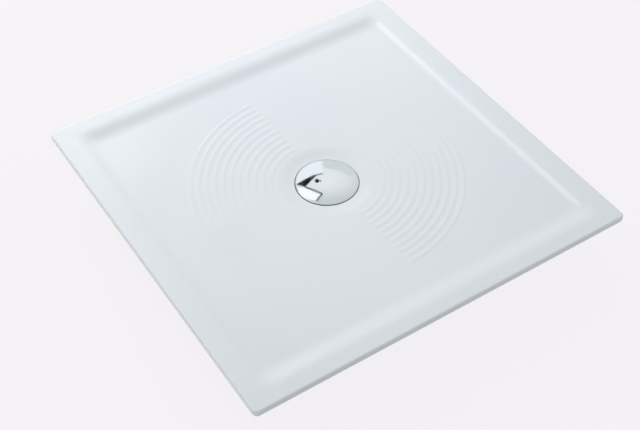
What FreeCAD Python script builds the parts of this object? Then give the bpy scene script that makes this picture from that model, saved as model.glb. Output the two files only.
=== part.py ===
"""Low-profile square shower tray with four levelling feet and a 90 mm waste with its trap.

Units are millimetres. The origin is on the floor under the middle of the tray, +Z is up, and the front
edge of the tray faces -Y. Heights of the tray and of the waste are counted down from the rim.
"""
import FreeCAD, Part
import math
import os
import re
import Sketcher

# ---------------------------------------------------------------------------------------------------------
# Driving dimensions: alias, value, what it measures
# ---------------------------------------------------------------------------------------------------------
DIMENSIONS = [
    # acrylic shell
    ("side", 800, "outer side of the square tray"),
    ("rim_height", 120, "top of the rim above the floor, feet at their middle setting"),
    ("outer_corner", 10, "plan radius of the tray's corners"),
    ("sheet", 4, "thickness of the formed sheet"),
    ("lip_depth", 12, "height of the turned-down edge"),
    ("edge_round", 3.4, "rounding of the rim's outer edge"),
    ("rim_width", 38, "flat rim from the outer edge to the bevel"),
    ("bevel_width", 30, "bevel in plan"),
    ("bevel_drop", 10, "bevel in height"),
    ("bevel_round", 40, "rounding where the bevel meets the rim and the floor"),
    ("basin_corner", 26, "plan radius of the bevel's upper corners"),
    ("floor_corner", 20, "plan radius of the bevel's lower corners"),
    ("dish_margin", 42, "floor between the bevel and the round dish, at mid side"),
    ("dish_drop", 12, "edge of the round dish below the rim"),
    ("fall_drop", 23, "lowest edge of the floor, round the waste seat, below the rim"),
    ("seat_radius", 64, "sunk seat for the waste cover"),
    ("seat_depth", 11, "depth of the seat below the floor's lowest edge"),
    ("seat_wall", 3, "thickness of the seat's wall"),
    ("waste_hole", 45, "radius of the waste hole"),
    # anti-slip ridges
    ("ridge_gap", 44.5, "seat edge to the crest of the first ridge"),
    ("ridge_margin", 26.5, "crest of the last ridge to the edge of the dish"),
    ("ridge_width", 13.5, "width of a ridge at its root"),
    ("ridge_height", 0.7, "height of a ridge"),
    ("ridge_root", 0.4, "depth to which a ridge runs into the sheet"),
    ("ridge_sweep", 86, "angle of one fan of ridges"),
    # reinforcement and board
    ("backing_inset", 28, "top edge of the backing inside the tray's edge"),
    ("backing_draft", 22, "how much further in the backing's lower edge is"),
    ("backing_corner", 18, "plan radius of the backing's upper corners"),
    ("backing_depth", 30, "flat underside of the backing below the rim"),
    ("backing_opening", 74, "radius of the backing's opening round the waste seat"),
    ("board_inset", 54, "edge of the board inside the tray's edge"),
    ("board_corner", 12, "plan radius of the board's corners"),
    ("board_thickness", 16, "thickness of the board"),
    ("board_opening", 80, "radius of the board's opening round the trap"),
    # levelling feet
    ("foot_inset", 140, "axis of a foot from the tray's edge"),
    ("rod_radius", 6, "levelling rod"),
    ("rod_running", 0.1, "radial clearance round the rod"),
    ("rod_reach", 6, "rod above the board's underside"),
    ("pad_radius", 25, "pad on the floor"),
    ("pad_edge", 5, "height of the pad's rim"),
    ("pad_hub", 10, "radius of the pad's hub"),
    ("pad_height", 18, "height of the pad"),
    ("pad_floor", 5, "thickness under the rod's end"),
    ("end_clearance", 0.3, "gap under the rod's end, and between parts that lift off"),
    ("socket_side", 52, "side of the socket's plate"),
    ("socket_corner", 8, "plan radius of the plate's corners"),
    ("socket_plate", 4, "thickness of the plate"),
    ("socket_boss", 12, "length of the hexagon boss under the plate"),
    ("boss_flats", 26, "boss across flats"),
    ("barrel_radius", 10, "barrel that sits in the board"),
    ("barrel_length", 12, "barrel above the plate"),
    ("barrel_clearance", 0.3, "radial clearance of the barrel in the board"),
    ("nut_flats", 19, "lock nut across flats"),
    ("nut_thickness", 7, "lock nut"),
    ("screw_offset", 20, "screw from the rod's axis"),
    ("screw_radius", 2.2, "screw shank"),
    ("screw_clearance", 0.2, "radial clearance of the shank"),
    ("screw_head", 4.6, "radius of the screw's head"),
    ("screw_head_height", 2.6, "screw's head"),
    ("screw_length", 16, "shank under the head"),
    # waste
    ("seal_thickness", 1.5, "flat ring over and under the tray"),
    ("seal_inset", 2, "edge of the rings inside the flange"),
    ("flange_radius", 56, "flange of the waste"),
    ("flange_thickness", 3, "flange of the waste"),
    ("collar_clearance", 1.5, "radial gap of the collar in the tray's hole"),
    ("collar_wall", 3.5, "wall of the threaded collar"),
    ("collar_length", 25, "collar under the flange"),
    ("ledge_width", 4, "inner ledge at the collar's foot"),
    ("ledge_height", 3.5, "inner ledge at the collar's foot"),
    ("thread_clearance", 0.3, "radial clearance of the large threads"),
    ("mouth_radius", 58, "flange at the mouth of the trap"),
    ("mouth_thickness", 4, "flange at the mouth of the trap"),
    ("pot_radius", 50, "outside of the trap's pot"),
    ("pot_wall", 3, "wall of the pot"),
    ("pot_clearance", 12, "pot above the floor"),
    ("thread_depth", 17, "threaded length in the mouth"),
    ("weir_radius", 34, "outside of the weir cup in the pot"),
    ("weir_wall", 2, "wall of the weir cup"),
    ("weir_depth", 28, "top of the weir under the trap's mouth"),
    ("outlet_height", 40, "axis of the outlet above the floor"),
    ("outlet_reach", 97, "end of the outlet from the waste's axis"),
    ("outlet_wall", 4.5, "wall of the outlet"),
    ("pipe_radius", 20, "waste pipe that goes into the outlet"),
    ("pipe_clearance", 0.2, "radial clearance of the pipe"),
    ("pipe_socket", 30, "depth to which the pipe goes in"),
    ("pipe_stop", 2, "step at the end of the pipe's socket"),
    ("tube_radius", 24, "outside of the dip tube"),
    ("tube_wall", 2, "wall of the dip tube"),
    ("tube_immersion", 28, "dip tube under the top of the weir"),
    ("cup_clearance", 0.4, "radial gap of the dip tube's rim in the collar"),
    ("cup_wall", 2, "wall of the dip tube's rim"),
    ("cup_height", 5, "height of the dip tube's rim"),
    ("basket_wall", 1.6, "wall of the strainer basket"),
    ("basket_height", 15, "height of the strainer basket"),
    ("basket_clearance", 0.3, "radial gap of the basket in the dip tube's rim"),
    ("slot_width", 3, "slot in the basket's floor"),
    ("slot_start", 13, "inner end of a slot from the axis"),
    ("slot_margin", 4, "outer end of a slot from the basket's wall"),
    ("post_radius", 8, "lifting post of the basket"),
    ("post_bore", 5.5, "bore of the post"),
    ("post_height", 13, "post above the basket's floor"),
    ("plug_clearance", 0.4, "radial gap of the cover's plug in the post"),
    ("plug_depth", 9, "plug in the post"),
    ("cover_gap", 2.2, "water gap round the cover"),
    ("cover_drop", 1.5, "top of the cover's edge below the floor's lowest edge"),
    ("cover_rise", 5.2, "crown of the cover"),
    ("cover_sheet", 1.4, "thickness of the cover"),
    ("cover_skirt", 2.6, "turned-down edge of the cover"),
    ("arm_width", 11, "arm of the spider"),
    ("arm_margin", 6, "end of the arms inside the cover's edge"),
    ("hub_radius", 15, "hub of the spider"),
    # outlet nut
    ("nut_grip_radius", 29.2, "outside of the outlet nut"),
    ("nut_back", 13, "nut behind the outlet's end"),
    ("nut_front", 6, "nut in front of the outlet's end"),
    ("nut_lip", 2.5, "front lip of the nut"),
    ("lip_clearance", 0.9, "radial clearance between the nut's lip and the pipe"),
]

RIDGE_COUNT = 11
FAN_COUNT = 2
FAN_MIDDLE = -45    # degrees from +X to the middle of a fan
SLOT_COUNT = 12
ARM_COUNT = 3
NUT_SIDES = 12
DIAGONAL_ARC = 6    # degrees on each side of a diagonal
TOUCH = 0.01        # two heights closer than this are the same
LEAST_CUT = 0.1     # cubic millimetres that a pocket must take away
FOOT_CORNERS = {
    "front_left": (-1, -1),
    "front_right": (1, -1),
    "rear_right": (1, 1),
    "rear_left": (-1, 1),
}

ALIASES = {alias for alias, _value, _meaning in DIMENSIONS}

# Heights and radii that several pieces share, written in terms of the driving dimensions
BASIN_HALF = "(side / 2 - rim_width)"
FLOOR_HALF = "(side / 2 - rim_width - bevel_width)"
DISH_RADIUS = "(side / 2 - rim_width - bevel_width - dish_margin)"
DISH_Z = "(rim_height - dish_drop)"
FALL_Z = "(rim_height - fall_drop)"
SEAT_Z = "(rim_height - fall_drop - seat_depth)"
BACKING_Z = "(rim_height - backing_depth)"
BOARD_Z = "(rim_height - backing_depth - board_thickness)"
FLANGE_Z = "(rim_height - fall_drop - seat_depth + seal_thickness)"
FLANGE_TOP = "(rim_height - fall_drop - seat_depth + seal_thickness + flange_thickness)"
COLLAR_OUTER = "(waste_hole - collar_clearance)"
COLLAR_INNER = "(waste_hole - collar_clearance - collar_wall)"
COLLAR_FOOT = "(rim_height - fall_drop - seat_depth + seal_thickness - collar_length)"
LEDGE_Z = "(rim_height - fall_drop - seat_depth + seal_thickness - collar_length + ledge_height)"
MOUTH_Z = "(rim_height - fall_drop - seat_depth - sheet - seal_thickness)"
WEIR_Z = "(rim_height - fall_drop - seat_depth - sheet - seal_thickness - weir_depth)"
CUP_Z = f"({LEDGE_Z} + end_clearance + seal_thickness)"
CUP_OUTER = f"({COLLAR_INNER} - cup_clearance)"
CUP_FLOOR = f"({CUP_Z} + cup_wall)"
BASKET_OUTER = f"({CUP_OUTER} - cup_wall - basket_clearance)"
BASKET_FLOOR = f"({CUP_FLOOR} + basket_wall)"
POST_TOP = f"({BASKET_FLOOR} + post_height)"
COVER_RADIUS = "(seat_radius - cover_gap)"
COVER_EDGE = f"({FALL_Z} - cover_drop)"
CROWN_Z = f"({FALL_Z} - cover_drop + cover_rise)"
DOME_RADIUS = f"(({COVER_RADIUS} ^ 2 + cover_rise ^ 2) / (2 * cover_rise))"
OUTLET_OUTER = "(pipe_radius + pipe_clearance + outlet_wall)"
SOCKET_Z = f"({BOARD_Z} - socket_plate)"
BOSS_Z = f"({BOARD_Z} - socket_plate - socket_boss)"

doc = FreeCAD.newDocument("shower_tray")
sheet = doc.addObject("Spreadsheet::Sheet", "sizes")
for row, (alias, value, meaning) in enumerate(DIMENSIONS, start=1):
    sheet.set(f"A{row}", meaning)
    sheet.set(f"B{row}", str(value))
    sheet.setAlias(f"B{row}", alias)
doc.recompute()

finished = {}


# ---------------------------------------------------------------------------------------------------------
# Helpers
# ---------------------------------------------------------------------------------------------------------
def bound(text):
    """Turn a formula in aliases into an expression on the sheet's cells."""
    def cell(word):
        name = word.group(0)
        return "sizes." + name if name in ALIASES else name
    return re.sub(r"[a-z_]+", cell, text)


def number(text):
    """Value of a formula in aliases."""
    return float(sheet.evalExpression(bound(text)))


def new_body(name):
    """Start a body whose label is the piece's name."""
    body = doc.addObject("PartDesign::Body", name)
    body.Label = name
    return body


def origin_plane(body, role):
    """One of the body's own origin planes."""
    for feature in body.Origin.OriginFeatures:
        if feature.Role == role:
            return feature
    raise ValueError(role)


def outline(body, name, role, offset, loops):
    """Sketch closed loops on an origin plane moved along its normal.

    A loop is a list of (x, y, radius): the corner points in order, where radius is None for a straight run
    to the next point, or the formula of an arc's radius. A leading "+" bulges the arc to the right of the
    way from point to point, a leading "-" to the left.
    """
    sketch = body.newObject("Sketcher::SketchObject", name)
    sketch.AttachmentSupport = (origin_plane(body, role), [""])
    sketch.MapMode = "FlatFace"
    sketch.setExpression(".AttachmentOffset.Base.z", bound(offset))
    for loop in loops:
        add_loop(sketch, loop)
    return sketch


def add_loop(sketch, loop):
    """Add one closed loop, each corner held by two formulas and each arc by its radius."""
    corners = [(number(x), number(y)) for x, y, _radius in loop]
    placed = []
    for index, (_x, _y, radius) in enumerate(loop):
        start = corners[index]
        end = corners[(index + 1) % len(loop)]
        if radius is None:
            shape = Part.LineSegment(FreeCAD.Vector(*start, 0), FreeCAD.Vector(*end, 0))
            placed.append((sketch.addGeometry(shape, False), 1, 2))
            continue
        forward = radius[0] == "+"
        placed.append((sketch.addGeometry(arc(start, end, number(radius[1:]), forward), False),
                       1 if forward else 2, 2 if forward else 1))
    for index, (x, y, radius) in enumerate(loop):
        edge, first, last = placed[index]
        following, next_first, _next_last = placed[(index + 1) % len(loop)]
        sketch.addConstraint(Sketcher.Constraint("Coincident", edge, last, following, next_first))
        for kind, formula in (("DistanceX", x), ("DistanceY", y)):
            datum = sketch.addConstraint(Sketcher.Constraint(kind, -1, 1, edge, first, number(formula)))
            sketch.setExpression(f"Constraints[{datum}]", bound(formula))
        if radius is not None:
            datum = sketch.addConstraint(Sketcher.Constraint("Radius", edge, number(radius[1:])))
            sketch.setExpression(f"Constraints[{datum}]", bound(radius[1:]))


def arc(start, end, radius, forward):
    """Arc of less than half a turn from start to end, anticlockwise when forward is true."""
    chord = math.dist(start, end)
    middle = ((start[0] + end[0]) / 2, (start[1] + end[1]) / 2)
    reach = math.sqrt(max(radius ** 2 - (chord / 2) ** 2, 0.0))
    turn = 1 if forward else -1
    centre = (middle[0] - turn * reach * (end[1] - start[1]) / chord,
              middle[1] + turn * reach * (end[0] - start[0]) / chord)
    if not forward:
        start, end = end, start
    angles = [math.atan2(point[1] - centre[1], point[0] - centre[0]) for point in (start, end)]
    circle = Part.Circle(FreeCAD.Vector(*centre, 0), FreeCAD.Vector(0, 0, 1), radius)
    return Part.ArcOfCircle(circle, *angles)


def polygon(points):
    """Loop of straight runs."""
    return [(x, y, None) for x, y in points]


def rounded_square(half, corner):
    """Loop of a square with rounded corners, from its lower side round to the left."""
    inner = f"({half} - {corner})"
    bulge = "+" + corner
    return [
        (f"-{inner}", f"-{half}", None),
        (inner, f"-{half}", bulge),
        (half, f"-{inner}", None),
        (half, inner, bulge),
        (inner, half, None),
        (f"-{inner}", half, bulge),
        (f"-{half}", inner, None),
        (f"-{half}", f"-{inner}", bulge),
    ]


def eight_arcs(radius):
    """Loop of a circle in eight arcs, the four at the diagonals narrow, so that it lofts to a rounded square."""
    wide_cos = f"({radius} * cos(45 deg - {DIAGONAL_ARC} deg))"
    wide_sin = f"({radius} * sin(45 deg - {DIAGONAL_ARC} deg))"
    bulge = "+" + radius
    return [
        (f"-{wide_sin}", f"-{wide_cos}", bulge),
        (wide_sin, f"-{wide_cos}", bulge),
        (wide_cos, f"-{wide_sin}", bulge),
        (wide_cos, wide_sin, bulge),
        (wide_sin, wide_cos, bulge),
        (f"-{wide_sin}", wide_cos, bulge),
        (f"-{wide_cos}", wide_sin, bulge),
        (f"-{wide_cos}", f"-{wide_sin}", bulge),
    ]


def full_circle(radius, x="0", y="0"):
    """Loop of a circle in four arcs."""
    bulge = "+" + radius
    return [
        (f"{x} + {radius}", y, bulge),
        (x, f"{y} + {radius}", bulge),
        (f"{x} - {radius}", y, bulge),
        (x, f"{y} - {radius}", bulge),
    ]


def hexagon(flats):
    """Loop of a hexagon by its size across flats."""
    corner = f"({flats} / sqrt(3))"
    return polygon([
        (corner, "0"),
        (f"{corner} / 2", f"{flats} / 2"),
        (f"-{corner} / 2", f"{flats} / 2"),
        (f"-{corner}", "0"),
        (f"-{corner} / 2", f"-{flats} / 2"),
        (f"{corner} / 2", f"-{flats} / 2"),
    ])


def pad(body, name, profile, length, reverse=False):
    """Raise a profile by a length."""
    feature = body.newObject("PartDesign::Pad", name)
    feature.Profile = profile
    feature.setExpression("Length", bound(length))
    feature.Reversed = reverse
    profile.Visibility = False
    return feature


def pocket(body, name, profile, length, reverse=False):
    """Cut a profile to a depth and check that it took something away."""
    doc.recompute()
    before = body.Shape.Volume
    feature = body.newObject("PartDesign::Pocket", name)
    feature.Profile = profile
    feature.setExpression("Length", bound(length))
    feature.Reversed = reverse
    doc.recompute()
    if body.Shape.Volume > before - LEAST_CUT:
        raise RuntimeError(f"{name} cuts nothing")
    return feature


def turned(body, name, profile, cut=False):
    """Turn a half section about the vertical axis, to add it or to cut it."""
    feature = body.newObject("PartDesign::Groove" if cut else "PartDesign::Revolution", name)
    feature.Profile = profile
    feature.ReferenceAxis = (profile, ["V_Axis"])
    feature.Angle = 360
    return feature


def half_section(body, name, points):
    """Sketch a half section in the X-Z plane."""
    return outline(body, name, "XZ_Plane", "0", [points])


def turned_body(name, points):
    """Body made by turning one half section."""
    body = new_body(name)
    turned(body, name + "_turn", half_section(body, name + "_section", points))
    finished[name] = body
    return body


def repeat_round(body, name, features, axis, count):
    """Repeat features round the vertical axis, which is the named axis of the first one's sketch."""
    doc.recompute()
    pattern = body.newObject("PartDesign::PolarPattern", name)
    pattern.Originals = features
    pattern.Axis = (features[0].Profile[0], [axis])
    pattern.Angle = 360
    pattern.Occurrences = count
    body.Tip = pattern
    return pattern


def place(body, x, y):
    """Bind a body's place in plan to the sheet."""
    for axis, formula in (("x", x), ("y", y)):
        body.setExpression(f".Placement.Base.{axis}", bound(formula))


def square_edges(shape, height, half, corner):
    """Names of the edges that lie at a height along a square with rounded corners."""
    names = []
    for index, edge in enumerate(shape.Edges, start=1):
        middle = edge.valueAt((edge.FirstParameter + edge.LastParameter) / 2)
        reach = max(abs(middle.x), abs(middle.y))
        if abs(middle.z - height) < TOUCH and abs(reach - half) < corner / 2:
            names.append(f"Edge{index}")
    return names


def rounding(body, name, radius, height, half, corner):
    """Round the edges along a square with rounded corners."""
    doc.recompute()
    base = body.Tip
    feature = body.newObject("PartDesign::Fillet", name)
    feature.Base = (base, square_edges(base.Shape, number(height), number(half), number(corner)))
    feature.setExpression("Radius", bound(radius))


# ---------------------------------------------------------------------------------------------------------
# Basin form, shared by the shell's two sides and the backing
# ---------------------------------------------------------------------------------------------------------
def basin(body, prefix, lower, cut, seat_radius, seat_z):
    """Add or cut the basin's form, lowered by a thickness.

    The form is a ruled loft from the bevel's upper line over its lower line to the edge of the round dish,
    and a turned dish that falls to the seat.
    """
    upper = outline(body, prefix + "_upper", "XY_Plane", f"rim_height - {lower}",
                    [rounded_square(BASIN_HALF, "basin_corner")])
    foot = outline(body, prefix + "_foot", "XY_Plane", f"rim_height - bevel_drop - {lower}",
                   [rounded_square(FLOOR_HALF, "floor_corner")])
    dish = outline(body, prefix + "_dish", "XY_Plane", f"{DISH_Z} - {lower}", [eight_arcs(DISH_RADIUS)])
    loft = body.newObject("PartDesign::SubtractiveLoft" if cut else "PartDesign::AdditiveLoft", prefix)
    loft.Profile = upper
    loft.Sections = [foot, dish]
    loft.Ruled = True
    section = half_section(body, prefix + "_section", polygon([
        ("0", f"{DISH_Z} - {lower}"),
        (DISH_RADIUS, f"{DISH_Z} - {lower}"),
        (seat_radius, f"{FALL_Z} - {lower}"),
        (seat_radius, seat_z),
        ("0", seat_z),
    ]))
    turned(body, prefix + "_turn", section, cut)


# ---------------------------------------------------------------------------------------------------------
# Tray shell
# ---------------------------------------------------------------------------------------------------------
def ridge_crest(index):
    """Radius of a ridge's crest: the ridges share the dish evenly."""
    first = "(seat_radius + ridge_gap)"
    last = f"({DISH_RADIUS} - ridge_margin)"
    return f"({first} + ({last} - {first}) * {index} / {RIDGE_COUNT - 1})"


def floor_z(radius):
    """Height of the dish at a radius."""
    return (f"({FALL_Z} + (fall_drop - dish_drop) * ({radius} - seat_radius)"
            f" / ({DISH_RADIUS} - seat_radius))")


def ridge_section(index):
    """Half section of one ridge: a low arc that runs a little into the sheet."""
    crest = ridge_crest(index)
    inner = f"({crest} - ridge_width / 2)"
    outer = f"({crest} + ridge_width / 2)"
    rise = "(ridge_height + ridge_root)"
    return [
        (inner, f"{floor_z(inner)} - ridge_root", None),
        (outer, f"{floor_z(outer)} - ridge_root", f"+(ridge_width ^ 2 / 4 + {rise} ^ 2) / (2 * {rise})"),
    ]


def make_tray_shell():
    """Formed sheet: rim, turned-down edge, bevel, falling floor, ridges and waste seat."""
    body = new_body("tray_shell")
    top = outline(body, "rim_outline", "XY_Plane", "rim_height", [rounded_square("side / 2", "outer_corner")])
    pad(body, "rim_plate", top, "lip_depth", reverse=True)
    under = outline(body, "lip_inside", "XY_Plane", "rim_height - sheet",
                    [rounded_square("(side / 2 - sheet)", "(outer_corner - sheet)")])
    pocket(body, "lip_hollow", under, "lip_depth")
    basin(body, "basin_back", "sheet", False, "(seat_radius + seat_wall)", f"{SEAT_Z} - sheet")
    basin(body, "basin_face", "0", True, "seat_radius", SEAT_Z)
    hole = outline(body, "waste_hole_outline", "XY_Plane", SEAT_Z, [full_circle("waste_hole")])
    pocket(body, "waste_hole_cut", hole, "sheet")
    rounding(body, "edge_rounding", "edge_round", "rim_height", "side / 2", "outer_corner")
    rounding(body, "bevel_top_rounding", "bevel_round", "rim_height", BASIN_HALF, "basin_corner")
    rounding(body, "bevel_foot_rounding", "bevel_round", "rim_height - bevel_drop", FLOOR_HALF, "floor_corner")
    doc.recompute()
    sections = outline(body, "ridge_sections", "XZ_Plane", "0",
                       [ridge_section(index) for index in range(RIDGE_COUNT)])
    sections.AttachmentOffset = FreeCAD.Placement(FreeCAD.Vector(), FreeCAD.Vector(0, 1, 0), FAN_MIDDLE)
    fan = body.newObject("PartDesign::Revolution", "ridge_fan")
    fan.Profile = sections
    fan.ReferenceAxis = (sections, ["V_Axis"])
    fan.Midplane = True
    fan.setExpression("Angle", bound("ridge_sweep"))
    repeat_round(body, "ridge_fans", [fan], "V_Axis", FAN_COUNT)
    finished["tray_shell"] = body


# ---------------------------------------------------------------------------------------------------------
# Backing and board
# ---------------------------------------------------------------------------------------------------------
def make_backing():
    """Reinforcement under the shell: its top follows the shell, its underside is flat, its sides taper."""
    body = new_body("backing")
    lower_half = "(side / 2 - backing_inset - backing_draft)"
    top = outline(body, "backing_top", "XY_Plane", "rim_height - sheet",
                  [rounded_square("(side / 2 - backing_inset)", "backing_corner")])
    bottom = outline(body, "backing_bottom", "XY_Plane", BACKING_Z, [rounded_square(lower_half, "board_corner")])
    loft = body.newObject("PartDesign::AdditiveLoft", "backing_block")
    loft.Profile = top
    loft.Sections = [bottom]
    loft.Ruled = True
    basin(body, "backing_face", "sheet", True, "(seat_radius + seat_wall)", f"{SEAT_Z} - sheet")
    well = outline(body, "backing_well", "XY_Plane", BACKING_Z, [full_circle("backing_opening")])
    pocket(body, "backing_well_cut", well, "backing_depth", reverse=True)
    finished["backing"] = body


def make_base_board():
    """Flat board with the trap's opening, the barrels' holes and the screws' pilot holes."""
    body = new_body("base_board")
    edge = outline(body, "board_outline", "XY_Plane", BOARD_Z,
                   [rounded_square("(side / 2 - board_inset)", "board_corner")])
    pad(body, "board", edge, "board_thickness")
    holes = [full_circle("board_opening")]
    for sign_x, sign_y in FOOT_CORNERS.values():
        x, y = foot_axis(sign_x, sign_y)
        holes.append(full_circle("(barrel_radius + barrel_clearance)", x, y))
        for side in (-1, 1):
            holes.append(full_circle("(screw_radius + screw_clearance)", f"{x} + {side} * screw_offset", y))
    openings = outline(body, "board_openings", "XY_Plane", BOARD_Z, holes)
    pocket(body, "board_cut", openings, "board_thickness", reverse=True)
    finished["base_board"] = body


# ---------------------------------------------------------------------------------------------------------
# Levelling feet
# ---------------------------------------------------------------------------------------------------------
def foot_axis(sign_x, sign_y):
    """Place of a foot's axis in plan."""
    return f"({sign_x} * (side / 2 - foot_inset))", f"({sign_y} * (side / 2 - foot_inset))"


def make_foot(corner, sign_x, sign_y):
    """Socket under the board, levelling rod and swivelling pad of one corner."""
    x, y = foot_axis(sign_x, sign_y)
    bore = "(rod_radius + rod_running)"

    socket = new_body("foot_socket_" + corner)
    plate_edge = rounded_square("socket_side / 2", "socket_corner")
    screw_holes = [full_circle("(screw_radius + screw_clearance)", f"{side} * screw_offset") for side in (-1, 1)]
    plate = outline(socket, "plate_outline", "XY_Plane", SOCKET_Z, [plate_edge, full_circle(bore)] + screw_holes)
    pad(socket, "plate", plate, "socket_plate")
    boss = outline(socket, "boss_outline", "XY_Plane", BOSS_Z, [hexagon("boss_flats"), full_circle(bore)])
    pad(socket, "boss", boss, "socket_boss")
    barrel = outline(socket, "barrel_outline", "XY_Plane", BOARD_Z,
                     [full_circle("barrel_radius"), full_circle(bore)])
    pad(socket, "barrel", barrel, "barrel_length")
    place(socket, x, y)
    finished[socket.Label] = socket

    rod = new_body("foot_rod_" + corner)
    rod_foot = "(pad_floor + end_clearance)"
    section = outline(rod, "rod_outline", "XY_Plane", rod_foot, [full_circle("rod_radius")])
    pad(rod, "rod", section, f"{BOARD_Z} + rod_reach - {rod_foot}")
    place(rod, x, y)
    finished[rod.Label] = rod

    base = new_body("foot_pad_" + corner)
    turned(base, "pad_turn", half_section(base, "pad_section", polygon([
        ("0", "0"),
        ("pad_radius", "0"),
        ("pad_radius", "pad_edge"),
        ("pad_hub", "pad_height"),
        (bore, "pad_height"),
        (bore, "pad_floor"),
        ("0", "pad_floor"),
    ])))
    place(base, x, y)
    finished[base.Label] = base


def make_lock_nuts():
    """Hexagon lock nuts under the sockets, one group."""
    body = new_body("foot_lock_nuts")
    loops = []
    for sign_x, sign_y in FOOT_CORNERS.values():
        x, y = foot_axis(sign_x, sign_y)
        loops.append([(f"{x} + {px}", f"{y} + {py}", None) for px, py, _radius in hexagon("nut_flats")])
        loops.append(full_circle("(rod_radius + rod_running)", x, y))
    section = outline(body, "nut_outlines", "XY_Plane", f"{BOSS_Z} - nut_thickness", loops)
    pad(body, "nuts", section, "nut_thickness")
    finished["foot_lock_nuts"] = body


def make_socket_screws():
    """Pan-head screws that hold the sockets to the board, one group."""
    body = new_body("socket_screws")
    places = []
    for sign_x, sign_y in FOOT_CORNERS.values():
        x, y = foot_axis(sign_x, sign_y)
        places += [(f"{x} + {side} * screw_offset", y) for side in (-1, 1)]
    heads = outline(body, "head_outlines", "XY_Plane", f"{SOCKET_Z} - screw_head_height",
                    [full_circle("screw_head", x, y) for x, y in places])
    pad(body, "heads", heads, "screw_head_height")
    shanks = outline(body, "shank_outlines", "XY_Plane", SOCKET_Z,
                     [full_circle("screw_radius", x, y) for x, y in places])
    pad(body, "shanks", shanks, "screw_length")
    finished["socket_screws"] = body


# ---------------------------------------------------------------------------------------------------------
# Waste: flange, seals and trap
# ---------------------------------------------------------------------------------------------------------
def ring(name, inner, outer, bottom, height):
    """Flat ring of rectangular section."""
    turned_body(name, polygon([
        (inner, bottom),
        (outer, bottom),
        (outer, f"{bottom} + {height}"),
        (inner, f"{bottom} + {height}"),
    ]))


def make_waste_flange():
    """Flange with its threaded collar and the inner ledge that carries the dip tube."""
    ledge_inner = f"({COLLAR_INNER} - ledge_width)"
    turned_body("waste_flange", polygon([
        (ledge_inner, COLLAR_FOOT),
        (COLLAR_OUTER, COLLAR_FOOT),
        (COLLAR_OUTER, FLANGE_Z),
        ("flange_radius", FLANGE_Z),
        ("flange_radius", f"{FLANGE_TOP} - flange_thickness / 2"),
        ("(flange_radius - flange_thickness / 2)", FLANGE_TOP),
        (COLLAR_INNER, FLANGE_TOP),
        (COLLAR_INNER, LEDGE_Z),
        (ledge_inner, LEDGE_Z),
    ]))


def make_trap_body():
    """Pot of the trap with its mouth, inner weir cup and side outlet."""
    body = new_body("trap_body")
    pot = half_section(body, "pot_section", polygon([
        ("0", "pot_clearance"),
        ("pot_radius", "pot_clearance"),
        ("pot_radius", f"{MOUTH_Z} - mouth_thickness"),
        ("mouth_radius", f"{MOUTH_Z} - mouth_thickness"),
        ("mouth_radius", MOUTH_Z),
        ("0", MOUTH_Z),
    ]))
    turned(body, "pot", pot)
    outlet = outline(body, "outlet_outline", "XZ_Plane", "0", [full_circle(OUTLET_OUTER, "0", "outlet_height")])
    pad(body, "outlet", outlet, "outlet_reach", reverse=True)
    doc.recompute()
    inner = "(pot_radius - pot_wall)"
    bottom = "(pot_clearance + pot_wall)"
    thread = f"({COLLAR_OUTER} + thread_clearance)"
    hollow = half_section(body, "pot_hollow", polygon([
        ("0", bottom),
        ("(weir_radius - weir_wall)", bottom),
        ("(weir_radius - weir_wall)", WEIR_Z),
        ("weir_radius", WEIR_Z),
        ("weir_radius", bottom),
        (inner, bottom),
        (inner, f"{MOUTH_Z} - thread_depth"),
        (thread, f"{MOUTH_Z} - thread_depth"),
        (thread, MOUTH_Z),
        ("0", MOUTH_Z),
    ]))
    turned(body, "pot_hollow_cut", hollow, cut=True)
    doc.recompute()
    way_start = "(weir_radius + (pot_radius - pot_wall - weir_radius) / 2)"
    way = outline(body, "way_outline", "XZ_Plane", f"-{way_start}",
                  [full_circle("(pipe_radius - pipe_stop)", "0", "outlet_height")])
    pocket(body, "way", way, f"outlet_reach - {way_start}")
    socket = outline(body, "pipe_socket_outline", "XZ_Plane", "-(outlet_reach - pipe_socket)",
                     [full_circle("(pipe_radius + pipe_clearance)", "0", "outlet_height")])
    pocket(body, "pipe_socket_cut", socket, "pipe_socket")
    finished["trap_body"] = body


def make_outlet_fittings():
    """Compression ring and gripped nut on the outlet."""
    seal = new_body("outlet_seal")
    loops = [full_circle(OUTLET_OUTER, "0", "outlet_height"),
             full_circle("(pipe_radius + pipe_clearance)", "0", "outlet_height")]
    pad(seal, "seal", outline(seal, "seal_outline", "XZ_Plane", "-outlet_reach", loops),
        "nut_front - nut_lip", reverse=True)
    finished["outlet_seal"] = seal

    nut = new_body("outlet_nut")
    grip = []
    for index in range(NUT_SIDES):
        angle = f"({360 / NUT_SIDES * index} deg)"
        grip.append((f"nut_grip_radius * cos({angle})", f"outlet_height + nut_grip_radius * sin({angle})"))
    outer = outline(nut, "nut_outline", "XZ_Plane", "-(outlet_reach - nut_back)",
                    [polygon(grip), full_circle(f"({OUTLET_OUTER} + thread_clearance)", "0", "outlet_height")])
    pad(nut, "nut_ring", outer, "nut_back + nut_front - nut_lip", reverse=True)
    front = outline(nut, "nut_front_outline", "XZ_Plane", "-(outlet_reach + nut_front - nut_lip)",
                    [polygon(grip), full_circle("(pipe_radius + lip_clearance)", "0", "outlet_height")])
    pad(nut, "nut_lip_plate", front, "nut_lip", reverse=True)
    finished["outlet_nut"] = nut


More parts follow.
